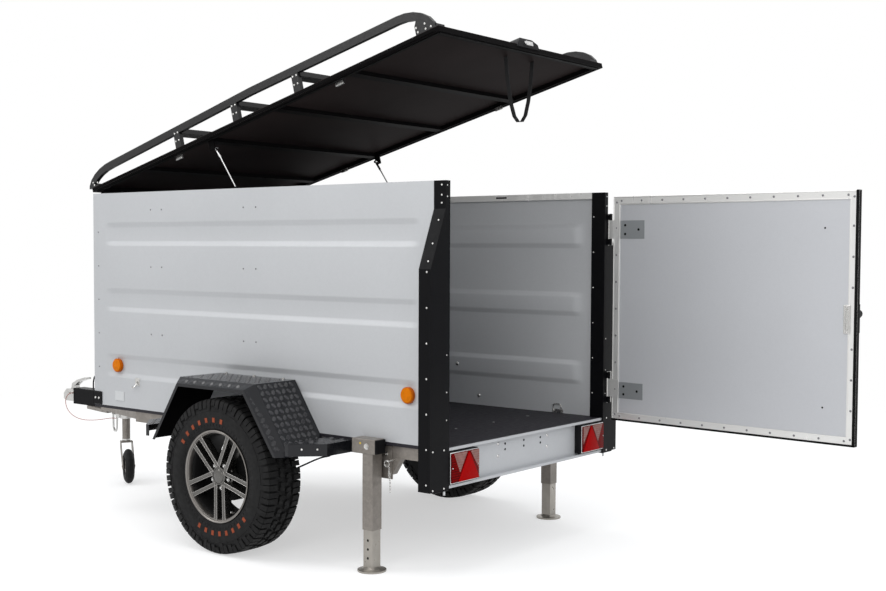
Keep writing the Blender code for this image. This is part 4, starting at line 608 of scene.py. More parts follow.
# ---------------------------------------------------------------- corner posts and hinge leaves
WING_Y, POST_Y = 0.761, 0.6613                           # outer faces of the wing and the post
WING_Z, POST_Z = 1.347, 1.603                            # where the slope between them ends
POST_BACK = -0.040                                       # x of the post's rear face
POST_RIVETS = (             # x, y, facing, diameter, height, z of each
    (-0.019, WING_Y, (0, 1, 0), 0.0095, None, (1.335, 1.184, 1.034, 0.884, 0.734, 0.584, 0.433)),
    (-0.018, POST_Y, (0, 1, 0), 0.0095, None, (1.705, 1.662, 1.628)),
    (POST_BACK, 0.742, (-1, 0, 0), 0.0095, None, (0.574, 0.409)),
    (POST_BACK, 0.666, (-1, 0, 0), 0.0095, None, (0.573, 0.408)),
    (POST_BACK, 0.650, (-1, 0, 0), 0.0070, 0.0015, (1.703, 1.655, 0.980, 0.820, 0.700)),
    (0.026, 0.6302, (0, -1, 0), 0.0085, None, (1.60, 1.42, 1.24, 1.06, 0.88, 0.70)),
)
FOOT_Y = 0.6785             # middle of the post's foot plate
for label, side in SIDES:
    rivets = []
    for x, y, (back, out, up), diameter, height, rows in POST_RIVETS:
        rivets += heads([(x, side * y, z) for z in rows], (back, side * out, up), diameter, height)
    for z in (1.555, 1.455, 1.380):
        y = WING_Y + (POST_Y - WING_Y) * (z - WING_Z) / (POST_Z - WING_Z)
        rivets.append(head((-0.016, side * y, z), (0, side * 0.932, 0.363), 0.0095))
    add(f"post_rivets_{label}", rivets, ZINC)
    foot = block((-0.039, side * FOOT_Y - 0.046, 0.394), (0.022, side * FOOT_Y + 0.046, 0.4005),
                 0.002)
    add(f"post_foot_{label}", foot, BLACK)
    pin = rod((-0.030, side * 0.652, 0.402), (-0.030, side * 0.652, 0.376), 0.010, 16)
    add(f"post_pin_{label}", pin, STICKER, slot="zinc")

leaf = []
for low, high in ((0.651, 0.811), (1.456, 1.616)):
    leaf.append(block((-0.0425, -0.706, low), (-0.0400, -0.664, high), 0.0008))
    leaf += heads([(-0.0425, -0.692, z) for z in (low + 0.016, high - 0.016)], (-1, 0, 0), 0.011,
                  0.004)
add("hinge_leaves", leaf, ZINC)

# ---------------------------------------------------------------- sill
SILL_BOLTS = [(-0.0025, y, z) for y, z in ((0.224, 0.543), (0.224, 0.487), (-0.177, 0.537),
                                           (-0.177, 0.483))]
SILL_HOLES = [(-0.0026, y, z) for y, z in ((0.168, 0.538), (0.168, 0.512), (0.018, 0.537),
                                           (0.018, 0.510), (-0.120, 0.534), (-0.120, 0.508))]
add("sill_bolts", heads(SILL_BOLTS, (-1, 0, 0), 0.015, 0.003), ZINC)
# the sill's holes as flat black discs: painted shade
add("sill_holes", heads(SILL_HOLES, (-1, 0, 0), 0.011, 0.0006, "plug"), SEAL)
low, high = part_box("rear_sill")
film = block((low[0] + MIDDLE + 0.007, -0.628, high[2] + 0.0002),
             (0.012, 0.628, high[2] + 0.0012), 0.0003)
add("floor_edge_film", film, FLOOR_FILM)


# ---------------------------------------------------------------- tail lamps
def lamp(label, side):
    """A lamp laid out in shares of the CAD lamp's box, from its inner lower corner."""
    low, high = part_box("tail_lamp_left" if side > 0 else "tail_lamp_right")
    inner, outer = sorted((abs(low[1]), abs(high[1])))
    front, back = low[0] + MIDDLE, high[0] + MIDDLE

    def spot(across, rise):
        return side * (inner + (outer - inner) * across), low[2] + (high[2] - low[2]) * rise

    def slab(inset, foot, near, far, bevel):
        return block((near, *spot(inset, foot)), (far, *spot(1 - inset, 1 - foot)), bevel, 2)

    def plate(corners, near, far, bevel=0.0):
        return prism([spot(*corner) for corner in corners], front + near, front + far, bevel)

    add(f"lamp_case_{label}", slab(0, 0, front + 0.014, back, 0.004), PLASTIC,
        replaces=(f"tail_lamp_{label}",))
    add(f"lamp_bezel_{label}", slab(0.012, 0.02, front + 0.010, front + 0.0145, 0.002), STEEL)
    add(f"lamp_lens_{label}", slab(0.028, 0.045, front + 0.004, front + 0.0115, 0.003), RED_DARK)
    clear = [plate(corners, 0.0030, 0.0046) for corners in (
        ((0.040, 0.94), (0.040, 0.34), (0.33, 0.94)), ((0.45, 0.94), (0.70, 0.34), (0.90, 0.94)))]
    add(f"lamp_clear_{label}", clear, CLEAR_LENS)
    triangle = plate(((0.03, 0.06), (0.76, 0.06), (0.39, 0.94)), 0.0008, 0.0045, 0.0012)
    add(f"lamp_triangle_{label}", triangle, RED_LENS)
    ribs = []
    for k in range(1, 12):
        (start, height), (end, _) = (spot(t, 0.05 + 0.9 * k / 12) for t in (0.03, 0.97))
        ribs.append(block((front + 0.0030, start, height - 0.0006),
                          (front + 0.0042, end, height + 0.0006)))
    add(f"lamp_ribs_{label}", ribs, RED_LENS)
    screws = [(front + 0.004, *spot(t, 0.5)) for t in (0.06, 0.94)]
    add(f"lamp_screws_{label}", heads(screws, (-1, 0, 0), 0.006, 0.0015), STEEL)


for label, side in SIDES:
    lamp(label, side)


# ---------------------------------------------------------------- chequer plate
BARS = 5                    # raised bars in a group
BAR_PITCH = 0.0052
BAR_HALF = 0.0125           # half the middle bar's length
BAR_PLAN = ((-1, 0), (-0.7, -1), (0.7, -1), (1, 0), (0.7, 1), (-0.7, 1))
BAR_RISE = 0.0013
GROUP_MARGIN = 0.0135       # a group is left out nearer than this to the plate's outline


def inside(point, polygon):
    """Whether an odd number of the polygon's edges crosses the line to the point's right."""
    hits = False
    for (xa, ya), (xb, yb) in zip(polygon, polygon[-1:] + polygon[:-1]):
        if (ya > point[1]) != (yb > point[1]):
            if point[0] < (xb - xa) * (point[1] - ya) / (yb - ya) + xa:
                hits = not hits
    return hits


def lozenges(origin, u, v, polygon, spacing=0.033):
    """Groups of raised bars, turned in two crossing directions. The polygon runs along u and v."""
    origin, u, v = Vector(origin), Vector(u).normalized(), Vector(v).normalized()
    normal = u.cross(v)
    shape = bmesh.new()
    low = [min(p[axis] for p in polygon) for axis in (0, 1)]
    counts = [int((max(p[axis] for p in polygon) - low[axis]) / spacing) for axis in (0, 1)]
    for i in range(counts[0] + 1):
        for j in range(counts[1] + 1):
            a, b = low[0] + spacing * (i + 0.5), low[1] + spacing * (j + 0.5)
            if not all(inside((a + GROUP_MARGIN * p, b + GROUP_MARGIN * q), polygon)
                       for p in (-1, 1) for q in (-1, 1)):
                continue
            turn = math.pi / 4 if (i + j) % 2 else -math.pi / 4
            along = u * math.cos(turn) + v * math.sin(turn)
            across = normal.cross(along)
            for bar in range(-(BARS // 2), BARS // 2 + 1):
                at = origin + u * a + v * b + across * (bar * BAR_PITCH)
                half = BAR_HALF - 0.0022 * abs(bar)
                ring = [shape.verts.new(at + along * (s * half) + across * (t * 0.0019)
                                        - normal * 0.0003) for s, t in BAR_PLAN]
                top = [shape.verts.new(at + along * (s * (half - 0.0015)) + across * (t * 0.0007)
                                       + normal * BAR_RISE) for s, t in BAR_PLAN]
                for k in range(6):
                    m = (k + 1) % 6
                    shape.faces.new((ring[k], ring[m], top[m], top[k]))
                shape.faces.new(top)
    return shape


# Fender: points (x, z) of its rear leg, top and front leg at the fold, the bevel's edge and the lip
FENDER = ((0.652, 0.500), (0.866, 0.813), (1.389, 0.813), (1.578, 0.500))
FENDER_EDGE = ((0.686, 0.500), (0.894, 0.7875), (1.361, 0.7875), (1.546, 0.500))
FENDER_LIP = ((0.704, 0.500), (0.903, 0.7725), (1.352, 0.7725), (1.529, 0.500))
FENDER_SHEET = 0.0028
FENDER_OUT = 0.957          # y of the lip
FOLD_Y = 0.912              # y where the bevel starts


def fender_skin(side):
    skin = bmesh.new()
    columns = []
    for flat, edge, lip in zip(FENDER, FENDER_EDGE, FENDER_LIP):
        corners = ((flat, OUTER + 0.0004), (flat, FOLD_Y), (edge, FENDER_OUT), (lip, FENDER_OUT))
        columns.append([skin.verts.new((x, side * y, z)) for (x, z), y in corners])
    for here, there in zip(columns, columns[1:]):
        for k in range(3):
            skin.faces.new((here[k], here[k + 1], there[k + 1], there[k]))
    bmesh.ops.recalc_face_normals(skin, faces=skin.faces)
    if next(face for face in skin.faces if abs(face.normal.z) > 0.99).normal.z < 0:
        bmesh.ops.reverse_faces(skin, faces=skin.faces[:])
    bmesh.ops.solidify(skin, geom=skin.faces[:], thickness=FENDER_SHEET)
    bmesh.ops.recalc_face_normals(skin, faces=skin.faces)
    return skin


def tread_strip(side, start, end, y, across, inset, foot, reach, spacing):
    """Bars on one of the fender's flats, from start to end, each (x, z)."""
    run = Vector((end[0] - start[0], 0, end[1] - start[1]))
    origin = Vector((start[0], side * y, start[1]))
    if side > 0:
        origin, run = origin + run, -run
    stop = run.length - inset
    return lozenges(origin, run, across, [(inset, foot), (stop, foot), (stop, reach),
                                          (inset, reach)], spacing)


for label, side in SIDES:
    piece = add(f"fender_skin_{label}", fender_skin(side), CHEQUER, smooth=20,
                replaces=(f"fender_{label}",))
    # faces turned towards the wheel take the painted shade of the fender's inside
    piece.data.materials.append(FENDER_INSIDE_SHADE)
    wheel = ROOT @ Vector((AXLE.x, side * 0.80, 0.45))
    for face in piece.data.polygons:
        if face.normal.dot(face.center - wheel) < 0:
            face.material_index = 1
    treads = [tread_strip(side, start, end, FOLD_Y, (0, -side, 0), 0.003, 0.002,
                          FOLD_Y - OUTER - 0.006, 0.033) for start, end in zip(FENDER, FENDER[1:])]
    for flat, start, end in zip(FENDER, FENDER_EDGE, FENDER_EDGE[1:]):
        run = Vector((end[0] - start[0], 0, end[1] - start[1]))
        up_slope = Vector((flat[0] - start[0], 0, flat[1] - start[1]))
        up_slope -= run * (up_slope.dot(run) / run.length_squared)
        up_slope.y = -side * (FENDER_OUT - FOLD_Y)
        treads.append(tread_strip(side, start, end, FENDER_OUT, up_slope, 0.004, 0.006, 0.048,
                                  0.030))
    add(f"fender_tread_{label}", treads, TREAD, smooth=20)
    fixings = [(x, side * (OUTER + 0.016), 0.813) for x in (0.93, 1.13, 1.33)]
    add(f"fender_bolts_{label}", heads(fixings, (0, 0, 1), 0.014, 0.006, "hex"), ZINC)

    # step plates behind and ahead of the fender
    treads, slots, bolts = [], [], []
    for name, ahead in (("rear", -1), ("front", 1)):
        low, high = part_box(f"step_{name}_{label}")
        top = high[2]
        near = (low[0] if ahead > 0 else high[0]) + MIDDLE
        start, far = near + ahead * 0.004, near + ahead * 0.146
        plan = [(start, 0.662), (start, 0.942), (start + ahead * 0.014, 0.942), (far, 0.824),
                (far, 0.662)]
        treads.append(lozenges((0, 0, top), (1, 0, 0), (0, 1, 0),
                               [(x, side * y) for x, y in plan]))
        middle = (start + far) / 2
        # a slot in the step as a black strip: painted shade of the opening
        slots.append(block((middle - 0.006, side * 0.705 - 0.020, top - 0.0002),
                           (middle + 0.006, side * 0.705 + 0.020, top + 0.0012), 0.0005))
        bolts += heads([(near + ahead * (0.020 + 0.126 * t), side * (0.945 - 0.118 * t),
                         top - 0.024) for t in (0.35, 0.75)],
                       (ahead * 0.68, side * 0.73, 0), 0.010, 0.003)
    add(f"step_tread_{label}", treads, TREAD, smooth=20)
    add(f"step_slots_{label}", slots, SEAL)
    add(f"step_bolts_{label}", bolts, ZINC)


# ---------------------------------------------------------------- tyres
LUGS = 36                   # shoulder blocks a side
LUG_PITCH = 2 * math.pi / LUGS
SIPE = LUG_PITCH * 0.030    # half the slit between a block's halves
LUG_HALF = LUG_PITCH * 0.425
LUG_HALVES = ((-LUG_HALF, -SIPE), (SIPE, LUG_HALF))
GROOVE_R = TYRE_R - 0.011   # the tread's floor
TYRE_SECTION = (            # radius and y of the carcass from the bead to the middle
    (0.2000, 0.0810), (0.2085, 0.0880), (0.2180, 0.0925), (0.2270, 0.0975), (0.2360, 0.1010),
    (0.2480, 0.1040), (0.2650, 0.1062), (0.2820, 0.1060), (0.2990, 0.1048), (0.3140, 0.1025),
    (0.3270, 0.0990), (0.3390, 0.0940), (0.3480, 0.0850), (0.3530, 0.0700), (GROOVE_R, 0.0420),
    (GROOVE_R + 0.0003, 0.0))
MIDDLE_BLOCKS = ((-0.30, -0.02, 0.006, 0.036), (0.02, 0.30, 0.004, 0.033))
SIDE_RINGS = ((0.2335, 0.0998), (0.3075, 0.1035))
SIDE_RIB = ((0.2385, 0.1000), (0.2385, 0.1036), (0.2475, 0.1030), (0.2475, 0.1054))
ORANGE_BAR = ((0.2545, 0.1045), (0.2545, 0.1070), (0.2765, 0.1050), (0.2765, 0.1072))
ORANGE_RUNS = ((-57, 10, 7), (131, 204, 8))              # first and last angle, number of bars


def crown(y):
    """The tread blocks' radius across the tyre."""
    return TYRE_R - 0.0005 - 0.006 * max(0.0, (abs(y) - 0.055) / 0.05) ** 2


def tyre(label, side):
    """A tyre with siped blocks, shoulder bars and plain bars where lettering sat."""
    centre = (AXLE.x, side * TYRE_Y, AXLE.z)

    def put(r, turn, y):
        return Vector((AXLE.x + r * math.sin(turn), side * (TYRE_Y + y),
                       AXLE.z + r * math.cos(turn)))

    def lug(plan, low, taper):
        """A block over a plan of (turn, y) pairs, from a radius up to the crown."""
        mid_t = sum(t for t, _ in plan) / len(plan)
        mid_y = sum(y for _, y in plan) / len(plan)
        return loft([[put(low, t, y) for t, y in plan],
                     [put(crown(y), mid_t + (t - mid_t) * taper, mid_y + (y - mid_y) * taper)
                      for t, y in plan]])

    def bar(corners, turn, half):
        return hull([put(r, turn + t, y) for r, y in corners for t in (-half, half)])

    ring = [(r, -y) for r, y in TYRE_SECTION] + [(r, y) for r, y in TYRE_SECTION[-2::-1]]
    shapes = [lathe(ring, "y", centre, 144)]
    for k in range(LUGS):
        for wing in (-1, 1):
            # shoulder block in two halves, each with its flank down the side
            turn = LUG_PITCH * (k + (0.5 if wing < 0 else 0.0))
            inner = 0.043 + (0.006 if k % 2 else 0.0)
            longer = 0.012 if k % 2 else 0.0
            for a, b in LUG_HALVES:
                plan = ((turn + a, wing * inner), (turn + b, wing * (inner + 0.003)),
                        (turn + b, wing * 0.094), (turn + a, wing * 0.094))
                shapes.append(lug(plan, GROOVE_R - 0.006, 0.95))
                bottom = (0.318 if a < 0 else 0.330) - longer
                flank = ((crown(0.093) - 0.001, 0.088), (crown(0.093) - 0.004, 0.0985),
                         (0.345, 0.1030), (bottom + 0.004, 0.1068), (bottom, 0.1000),
                         (0.340, 0.088))
                shapes.append(hull([put(r, t, wing * y) for t in (turn + a, turn + b)
                                    for r, y in flank]))
            # middle blocks, hooked, in two rows
            turn = LUG_PITCH * (k + (0.28 if wing < 0 else 0.72))
            for a, b, c, d in MIDDLE_BLOCKS:
                plan = ((a, c), (b, c + 0.002), (b + 0.10, d - 0.010), (b + 0.04, d),
                        (a + 0.04, d - 0.001))
                shapes.append(lug([(turn + LUG_PITCH * t, wing * y) for t, y in plan],
                                  GROOVE_R - 0.003, 0.93))
    # side rings and fine ribs
    for wing in (-1, 1):
        for r, y in SIDE_RINGS:
            line = [put(r, 2 * math.pi * k / 96, wing * y) for k in range(96)]
            shapes.append(pipe(line, 0.0035, 6, closed=True))
        for k in range(72):
            corners = [(r, wing * y) for r, y in SIDE_RIB]
            shapes.append(bar(corners, 2 * math.pi * (k + 0.5) / 72, 0.006))
    add(f"tyre_detail_{label}", shapes, RUBBER, body=f"wheel_{label}", smooth=28,
        replaces=(f"tyre_{label}",))
    bars = [bar(ORANGE_BAR, -side * math.radians(first + (last - first) * k / (number - 1)), 0.030)
            for first, last, number in ORANGE_RUNS for k in range(number)]
    add(f"tyre_bars_{label}", bars, ORANGE, body=f"wheel_{label}")


# ---------------------------------------------------------------- rims
# Profiles of (radius, y), from the wheel's middle plane outwards
RIM_FRONT = ((0.2172, 0.0950), (0.2172, 0.0992), (0.2140, 0.1006), (0.2085, 0.0975),
             (0.2052, 0.0900), (0.2035, 0.0700), (0.2000, 0.0690), (0.1990, 0.0800),
             (0.2040, 0.0920), (0.2100, 0.0950))
RIM_WELL = ((0.2032, 0.0710), (0.1960, 0.0690), (0.1900, 0.0600), (0.1890, -0.0600),
            (0.1950, -0.0900), (0.2150, -0.0990), (0.2172, -0.0950), (0.1990, -0.0860),
            (0.1950, -0.0600), (0.1950, 0.0560), (0.2000, 0.0660), (0.2032, 0.0690))
HUB = ((0.0, 0.030), (0.070, 0.030), (0.071, 0.0560), (0.062, 0.0600), (0.0450, 0.0640),
       (0.0430, 0.0800), (0.0400, 0.0835), (0.0355, 0.0835), (0.0345, 0.0780), (0.0, 0.0780))
DRUM = ((0.0, 0.012), (0.122, 0.012), (0.125, 0.008), (0.125, -0.070), (0.030, -0.080),
        (0.0, -0.080))
CAP = ((0.0, 0.0780), (0.0335, 0.0780), (0.0335, 0.0840), (0.0300, 0.0870), (0.0150, 0.0885),
       (0.0, 0.0888))
SPOKE_TURNS = [math.radians(-42 + 72 * k) for k in range(5)]
SPOKE_STATIONS = (          # along the pair, off its middle line, half width, front face's y
    (0.030, 0.0250, 0.0095, 0.0800), (0.060, 0.0262, 0.0092, 0.0830),
    (0.100, 0.0270, 0.0088, 0.0860), (0.150, 0.0280, 0.0092, 0.0900),
    (0.192, 0.0292, 0.0102, 0.0935), (0.2085, 0.0300, 0.0125, 0.0950))
SPOKE_SECTION = (           # across in half widths, height over the front face
    (-1.25, -0.040), (-1.20, -0.012), (-0.90, -0.0010), (-0.45, -0.0030), (0.45, -0.0030),
    (0.90, -0.0010), (1.20, -0.012), (1.25, -0.040))
NUT_R = 0.0560              # radius of the nuts' circle


def rim(label, side):
    """A wheel of five double spokes, each pair nearly parallel."""
    body = f"wheel_{label}"

    def put(r, turn, y):
        return Vector((AXLE.x - side * r * math.sin(turn), side * (TYRE_Y + y),
                       AXLE.z + r * math.cos(turn)))

    def turned(profile, steps=96):
        return lathe([(r, side * y) for r, y in profile], "y", (AXLE.x, side * TYRE_Y, AXLE.z),
                     steps)

    spokes, edges = [], []
    for middle in SPOKE_TURNS:
        def at(run, off, y):
            return put(math.hypot(run, off), middle + math.atan2(off, run), y)

        for lean in (-1, 1):
            spokes.append(loft([[at(run, lean * off + wide * w, front + h)
                                 for w, h in SPOKE_SECTION]
                                for run, off, wide, front in SPOKE_STATIONS]))
            for w in (-0.92, 0.92):
                line = [at(run, lean * off + wide * w, front - 0.0008)
                        for run, off, wide, front in SPOKE_STATIONS]
                edges.append(pipe(smooth_line(line, 0.010), 0.0024, 8))
    # the drum and the rim's well in painted shade
    add(f"drum_detail_{label}", [turned(DRUM, 64), turned(RIM_WELL)], WHEEL_INSIDE_SHADE, body=body)
    add(f"rim_detail_{label}", [*spokes, turned(HUB, 64)], SPOKE, body=body, smooth=30,
        replaces=(f"rim_{label}",))
    add(f"rim_band_{label}", turned(RIM_FRONT), RIM_BAND, body=body, smooth=30)
    # bright strips along the spokes' edges: polish and painted highlight
    add(f"rim_edges_{label}", edges, POLISH_AND_HIGHLIGHT, body=body, smooth=60)
    add(f"wheel_cap_{label}", turned(CAP, 48), SPOKE, body=body, slot="black_plastic")
    nuts = []
    for turn in SPOKE_TURNS:
        nuts.append(rod(put(NUT_R, turn, 0.056), put(NUT_R, turn, 0.0720), 0.021, 6))
        nuts.append(rod(put(NUT_R, turn, 0.0715), put(NUT_R, turn, 0.0760), 0.016, 16, 0.010))
    valve_turn = math.radians(150)
    nuts.append(rod(put(0.192, valve_turn, 0.066), put(0.182, valve_turn, 0.088), 0.008, 12))
    add(f"wheel_nuts_{label}", nuts, ZINC, body=body)


for label, side in SIDES:
    tyre(label, side)
    rim(label, side)

# ---------------------------------------------------------------- door
DOOR_IN, DOOR_OUT = -0.0485, -0.0745                     # x of the frame's faces
DOOR_LOW, DOOR_HIGH, DOOR_SIDE = 0.590, 1.680, 0.628     # lines of the frame's rivets
HINGE_PLATES = ((0.681, 0.764), (1.489, 1.581))
outward = PLACES["door"].to_3x3() @ Vector((0, 1, 0))
turn = NODES["door_frame"].matrix_world.to_3x3()
reach = max((turn @ v.co).dot(outward) for v in NODES["door_frame"].data.vertices)
repaint("door_frame", SEAL, lambda normal, centre: normal.dot(outward) > 0.9
        and centre.dot(outward) > reach - 0.004)

rivets = [(-0.600 + 1.200 * k / 10, z) for k in range(11) for z in (DOOR_HIGH, DOOR_LOW)]
for k in range(1, 8):
    z = DOOR_LOW + (DOOR_HIGH - DOOR_LOW) * k / 8
    rivets.append((-DOOR_SIDE, z))
    if k != 4:              # the latch sits there
        rivets.append((DOOR_SIDE, z))
rivets += [(y, z) for z in (DOOR_HIGH - 0.008, DOOR_LOW + 0.008) for y in (-DOOR_SIDE, DOOR_SIDE)]
# door rivets in the darkened rivet finish: painted shade
add("door_rivets", heads([(DOOR_IN, y, z) for y, z in rivets], (1, 0, 0), 0.0110)
    + heads([(DOOR_OUT, y, z) for y, z in rivets], (-1, 0, 0), 0.0110), RIVET, body="door")

ridges = []
for y, low, high, open_side in ((0.612, 0.606, 1.664, False), (0.6445, 0.572, 1.6965, True)):
    corners = [(-y, high), (y, high), (y, low), (-y, low)]
    for start, end in zip(corners, corners[1:] + corners[:1]):
        if not (open_side and start[0] == end[0] == y):  # the seal covers that edge
            ridges.append(rod((-0.0487, *start), (-0.0487, *end), 0.0035, 8))
add("door_ridges", ridges, ALUMINIUM, body="door")
seals = [block((-0.0760, y, 0.5662), (-0.0460, 0.6498, top), 0.0015)
         for y, top in ((0.6362, 1.7018), (-0.6490, 0.5760))]
add("door_seal", seals, SEAL, body="door")

plates, holes = [], []
for low, high in HINGE_PLATES:
    plates.append(block((-0.0518, -0.607, low), (-0.0498, -0.463, high), 0.0008))
    holes += heads([(-0.0498, y, low + (high - low) * t) for y, t in
                    ((-0.578, 0.74), (-0.578, 0.26), (-0.498, 0.5))], (1, 0, 0), 0.013, 0.0006,
                   "plug")
holes += heads([(-0.0514, 0.492, 1.535), (-0.0514, 0.494, 0.730)], (1, 0, 0), 0.009, 0.0006,
               "plug")
add("hinge_plates", plates, PLATE_ZINC, body="door")
# the hinge plates' holes as flat black discs: painted shade
add("hinge_plate_holes", holes, SEAL, body="door")
inner_latch = [block((-0.0487, 0.588, 1.066), (-0.0440, 0.620, 1.195), 0.002),
               block((-0.0445, 0.596, 1.088), (-0.0420, 0.614, 1.172), 0.001),
               rod((-0.0430, 0.605, 1.082), (-0.0430, 0.605, 1.178), 0.008, 12),
               *heads([(-0.0440, 0.604, 1.186), (-0.0440, 0.604, 1.075)], (1, 0, 0), 0.009)]
add("door_latch_inside", inner_latch, ZINC, body="door")
straps = [block((-0.0760, -0.640, z - 0.020), (-0.0745, -0.520, z + 0.020), 0.0006)
          for z in (0.73, 1.536)]
add("door_outer_straps", straps, BLACK, body="door")
lock = [rod((-0.1080, 0.630, 1.150), (-0.1120, 0.630, 1.150), 0.030, 24),
        block((-0.1125, 0.6265, 1.1480), (-0.1118, 0.6335, 1.1495), 0.0002)]
add("door_lock_face", lock, STEEL, body="door")

# ---------------------------------------------------------------- lid and rack
# the skin's upward faces take the plain black coat; the faces below keep the painted brown
# reflection
repaint("lid_skin", LID_TOP, lambda normal, centre: normal.z > 0.5)


def lid(back, y, height):
    """A point of the shut lid, counted back and up from its hinge."""
    return (LID_HINGE.x - back, y, LID_HINGE.z + height)


SEAL_Y, TRIM_Y, CATCH_Y, RACK_Y = 0.642, 0.6600, 0.616, 0.6592
SEAL_LOW, SEAL_TOP = -0.0035, 0.0004
seals = [block(lid(2.490, y - 0.004, SEAL_LOW), lid(0.030, y + 0.004, SEAL_TOP))
         for y in (-SEAL_Y, SEAL_Y)]
seals.append(block(lid(2.494, -SEAL_Y, SEAL_LOW), lid(2.482, SEAL_Y, SEAL_TOP)))
add("lid_seal", seals, SEAL, body="lid")
trim = [block(lid(2.480, side * TRIM_Y, 0.0030), lid(0.012, side * (TRIM_Y - 0.0012), 0.0075))
        for side in (-1, 1)]
add("lid_side_trim", trim, GALVANISED, body="lid")
catches = []
for back in (0.700, 1.865):
    for y in (CATCH_Y, -CATCH_Y):
        catches.append(block(lid(back + 0.024, y - 0.006, -0.018),
                             lid(back - 0.024, y + 0.006, 0.001), 0.001))
        catches.append(rod(lid(back + 0.012, y - 0.010, -0.013),
                           lid(back + 0.012, y + 0.010, -0.013), 0.006, 10))
add("lid_catches", catches, ZINC, body="lid")

LATCH_SHELL = (             # back from the hinge, half width, height
    (2.5125, 0.088, 0.012), (2.5150, 0.078, 0.036), (2.5060, 0.050, 0.0585),
    (2.4500, 0.050, 0.0590), (2.4300, 0.080, 0.040), (2.4240, 0.092, 0.024),
    (2.5040, 0.092, 0.010))
shell = [hull([lid(back, y, height) for back, wide, height in LATCH_SHELL for y in (-wide, wide)]),
         block(lid(2.5150, -0.046, 0.014), lid(2.4700, 0.046, 0.046), 0.004)]
add("lid_latch_shell", shell, PLASTIC, body="lid", replaces=("lid_latch",), bevel=0.002)
handle = [block(lid(2.5175, -0.034, 0.024), lid(2.5140, 0.020, 0.044), 0.0012),
          block(lid(2.5195, -0.026, 0.028), lid(2.5165, -0.004, 0.040), 0.0012),
          rod(lid(2.5180, 0.028, 0.034), lid(2.5140, 0.028, 0.034), 0.013, 20)]
add("lid_latch_handle", handle, STEEL, body="lid")

END_BOLTS = ((2.436, 0.057), (2.386, 0.055), (2.436, 0.034), (2.392, 0.034), (2.466, 0.034),
             (0.030, 0.034), (0.060, 0.040), (0.022, 0.050))    # back from the hinge, height
FOOT_BOLTS = [(back + shift, height) for back in (0.755, 1.200, 1.635)
              for shift in (-0.012, 0.012) for height in (0.060, 0.100)]
rack_bolts = []
for side in (1, -1):
    for places, diameter in ((END_BOLTS, 0.0105), (FOOT_BOLTS, 0.010)):
        rack_bolts += heads([lid(back, side * RACK_Y, height) for back, height in places],
                            (0, side, 0), diameter, 0.003)
add("rack_bolts", rack_bolts, ZINC, body="lid")

# ---------------------------------------------------------------- prop legs
LEG_Y, LEG_FACE, LEG_BRACKET = 0.705, 0.741, 0.652       # y of tube, head's face, bracket bolts
PIN_X, PIN_Z = 0.252, 0.500
for label, side in SIDES:
    y, out = side * LEG_Y, (0, side, 0)
    caps = [block((x, y - 0.0345, 0.5275), (x + 0.0065, y + 0.0345, 0.5905), 0.003)
            for x in (0.286, 0.4265)]
    add(f"leg_caps_{label}", caps, PLASTIC)
    bracket_bolts = [(x, side * LEG_BRACKET, z) for x, z in
                     ((0.300, 0.470), (0.300, 0.520), (0.372, 0.432), (0.280, 0.432))]
    add(f"leg_bolts_{label}", [head((0.337, side * LEG_FACE, 0.560), out, 0.020, 0.008, "hex"),
                               *heads(bracket_bolts, out, 0.014, 0.007, "hex")], ZINC)
    add(f"leg_dot_{label}", head((0.375, side * LEG_FACE, 0.572), out, 0.010, 0.0005, "plug"),
        YELLOW)
    pin = [rod((PIN_X, side * 0.646, PIN_Z), (PIN_X, side * 0.700, PIN_Z), 0.010, 16),
           pipe([(PIN_X + a, side * 0.703, PIN_Z - 0.012 + b) for a, b in circle(0.014, 24)],
                0.003, 8, closed=True)]
    for k in range(8):      # links of the pin's chain
        at = Vector((0.250 - 0.001 * k, side * (0.690 + 0.002 * math.sin(k)), 0.462 - 0.0135 * k))
        turn = Matrix.Rotation(math.pi / 2 * (k % 2), 4, "Z")
        pin.append(pipe([at + turn @ Vector((0.0042 * a, 0, 0.0092 * b))
                         for a, b in circle(1.0, 16)], 0.0022, 6, closed=True))
    add(f"leg_pin_{label}", pin, ZINC)
    # the leg's holes as flat black discs: painted shade
    holes = [(0.337, side * (LEG_Y + 0.0267), z) for z in (0.060, 0.100, 0.140)]
    add(f"leg_holes_{label}", heads(holes, out, 0.012, 0.0001, "plug"), SEAL,
        body=f"leg_{label}")

# ---------------------------------------------------------------- hitch and jockey wheel
BEAM_FACE = 0.0402          # y of the beam's side under its bolts
ARM_END_X, ARM_END_Y, ARM_RISE = 3.14, 0.07, 0.41 / 1.68
JOCKEY_X, JOCKEY_Y = 2.955, 0.050
bolts = [head((x, side * 0.0365, 0.4985), (0, side, 0), 0.018, 0.008, "hex")
         for x in (3.524, 3.556) for side in (1, -1)]
add("coupling_bolts", bolts, ZINC)
add("beam_collar", block((3.4955, -0.0405, 0.4305), (3.5095, 0.0405, 0.5303), 0.002), BLACK)
bolts = [head((x, side * BEAM_FACE, z), (0, side, 0), 0.016, 0.008, "hex")
         for x in (3.06, 3.12) for z in (0.455, 0.505) for side in (1, -1)]
add("beam_bolts", bolts, ZINC)
bolts = [head((x, side * (ARM_END_Y + (ARM_END_X - x) * ARM_RISE + 0.0258), 0.466),
              (0.23, side, 0), 0.018, 0.009, "hex") for x in (2.608, 2.20, 1.60)
         for side in (1, -1)]
add("arm_bolts", bolts, ZINC)

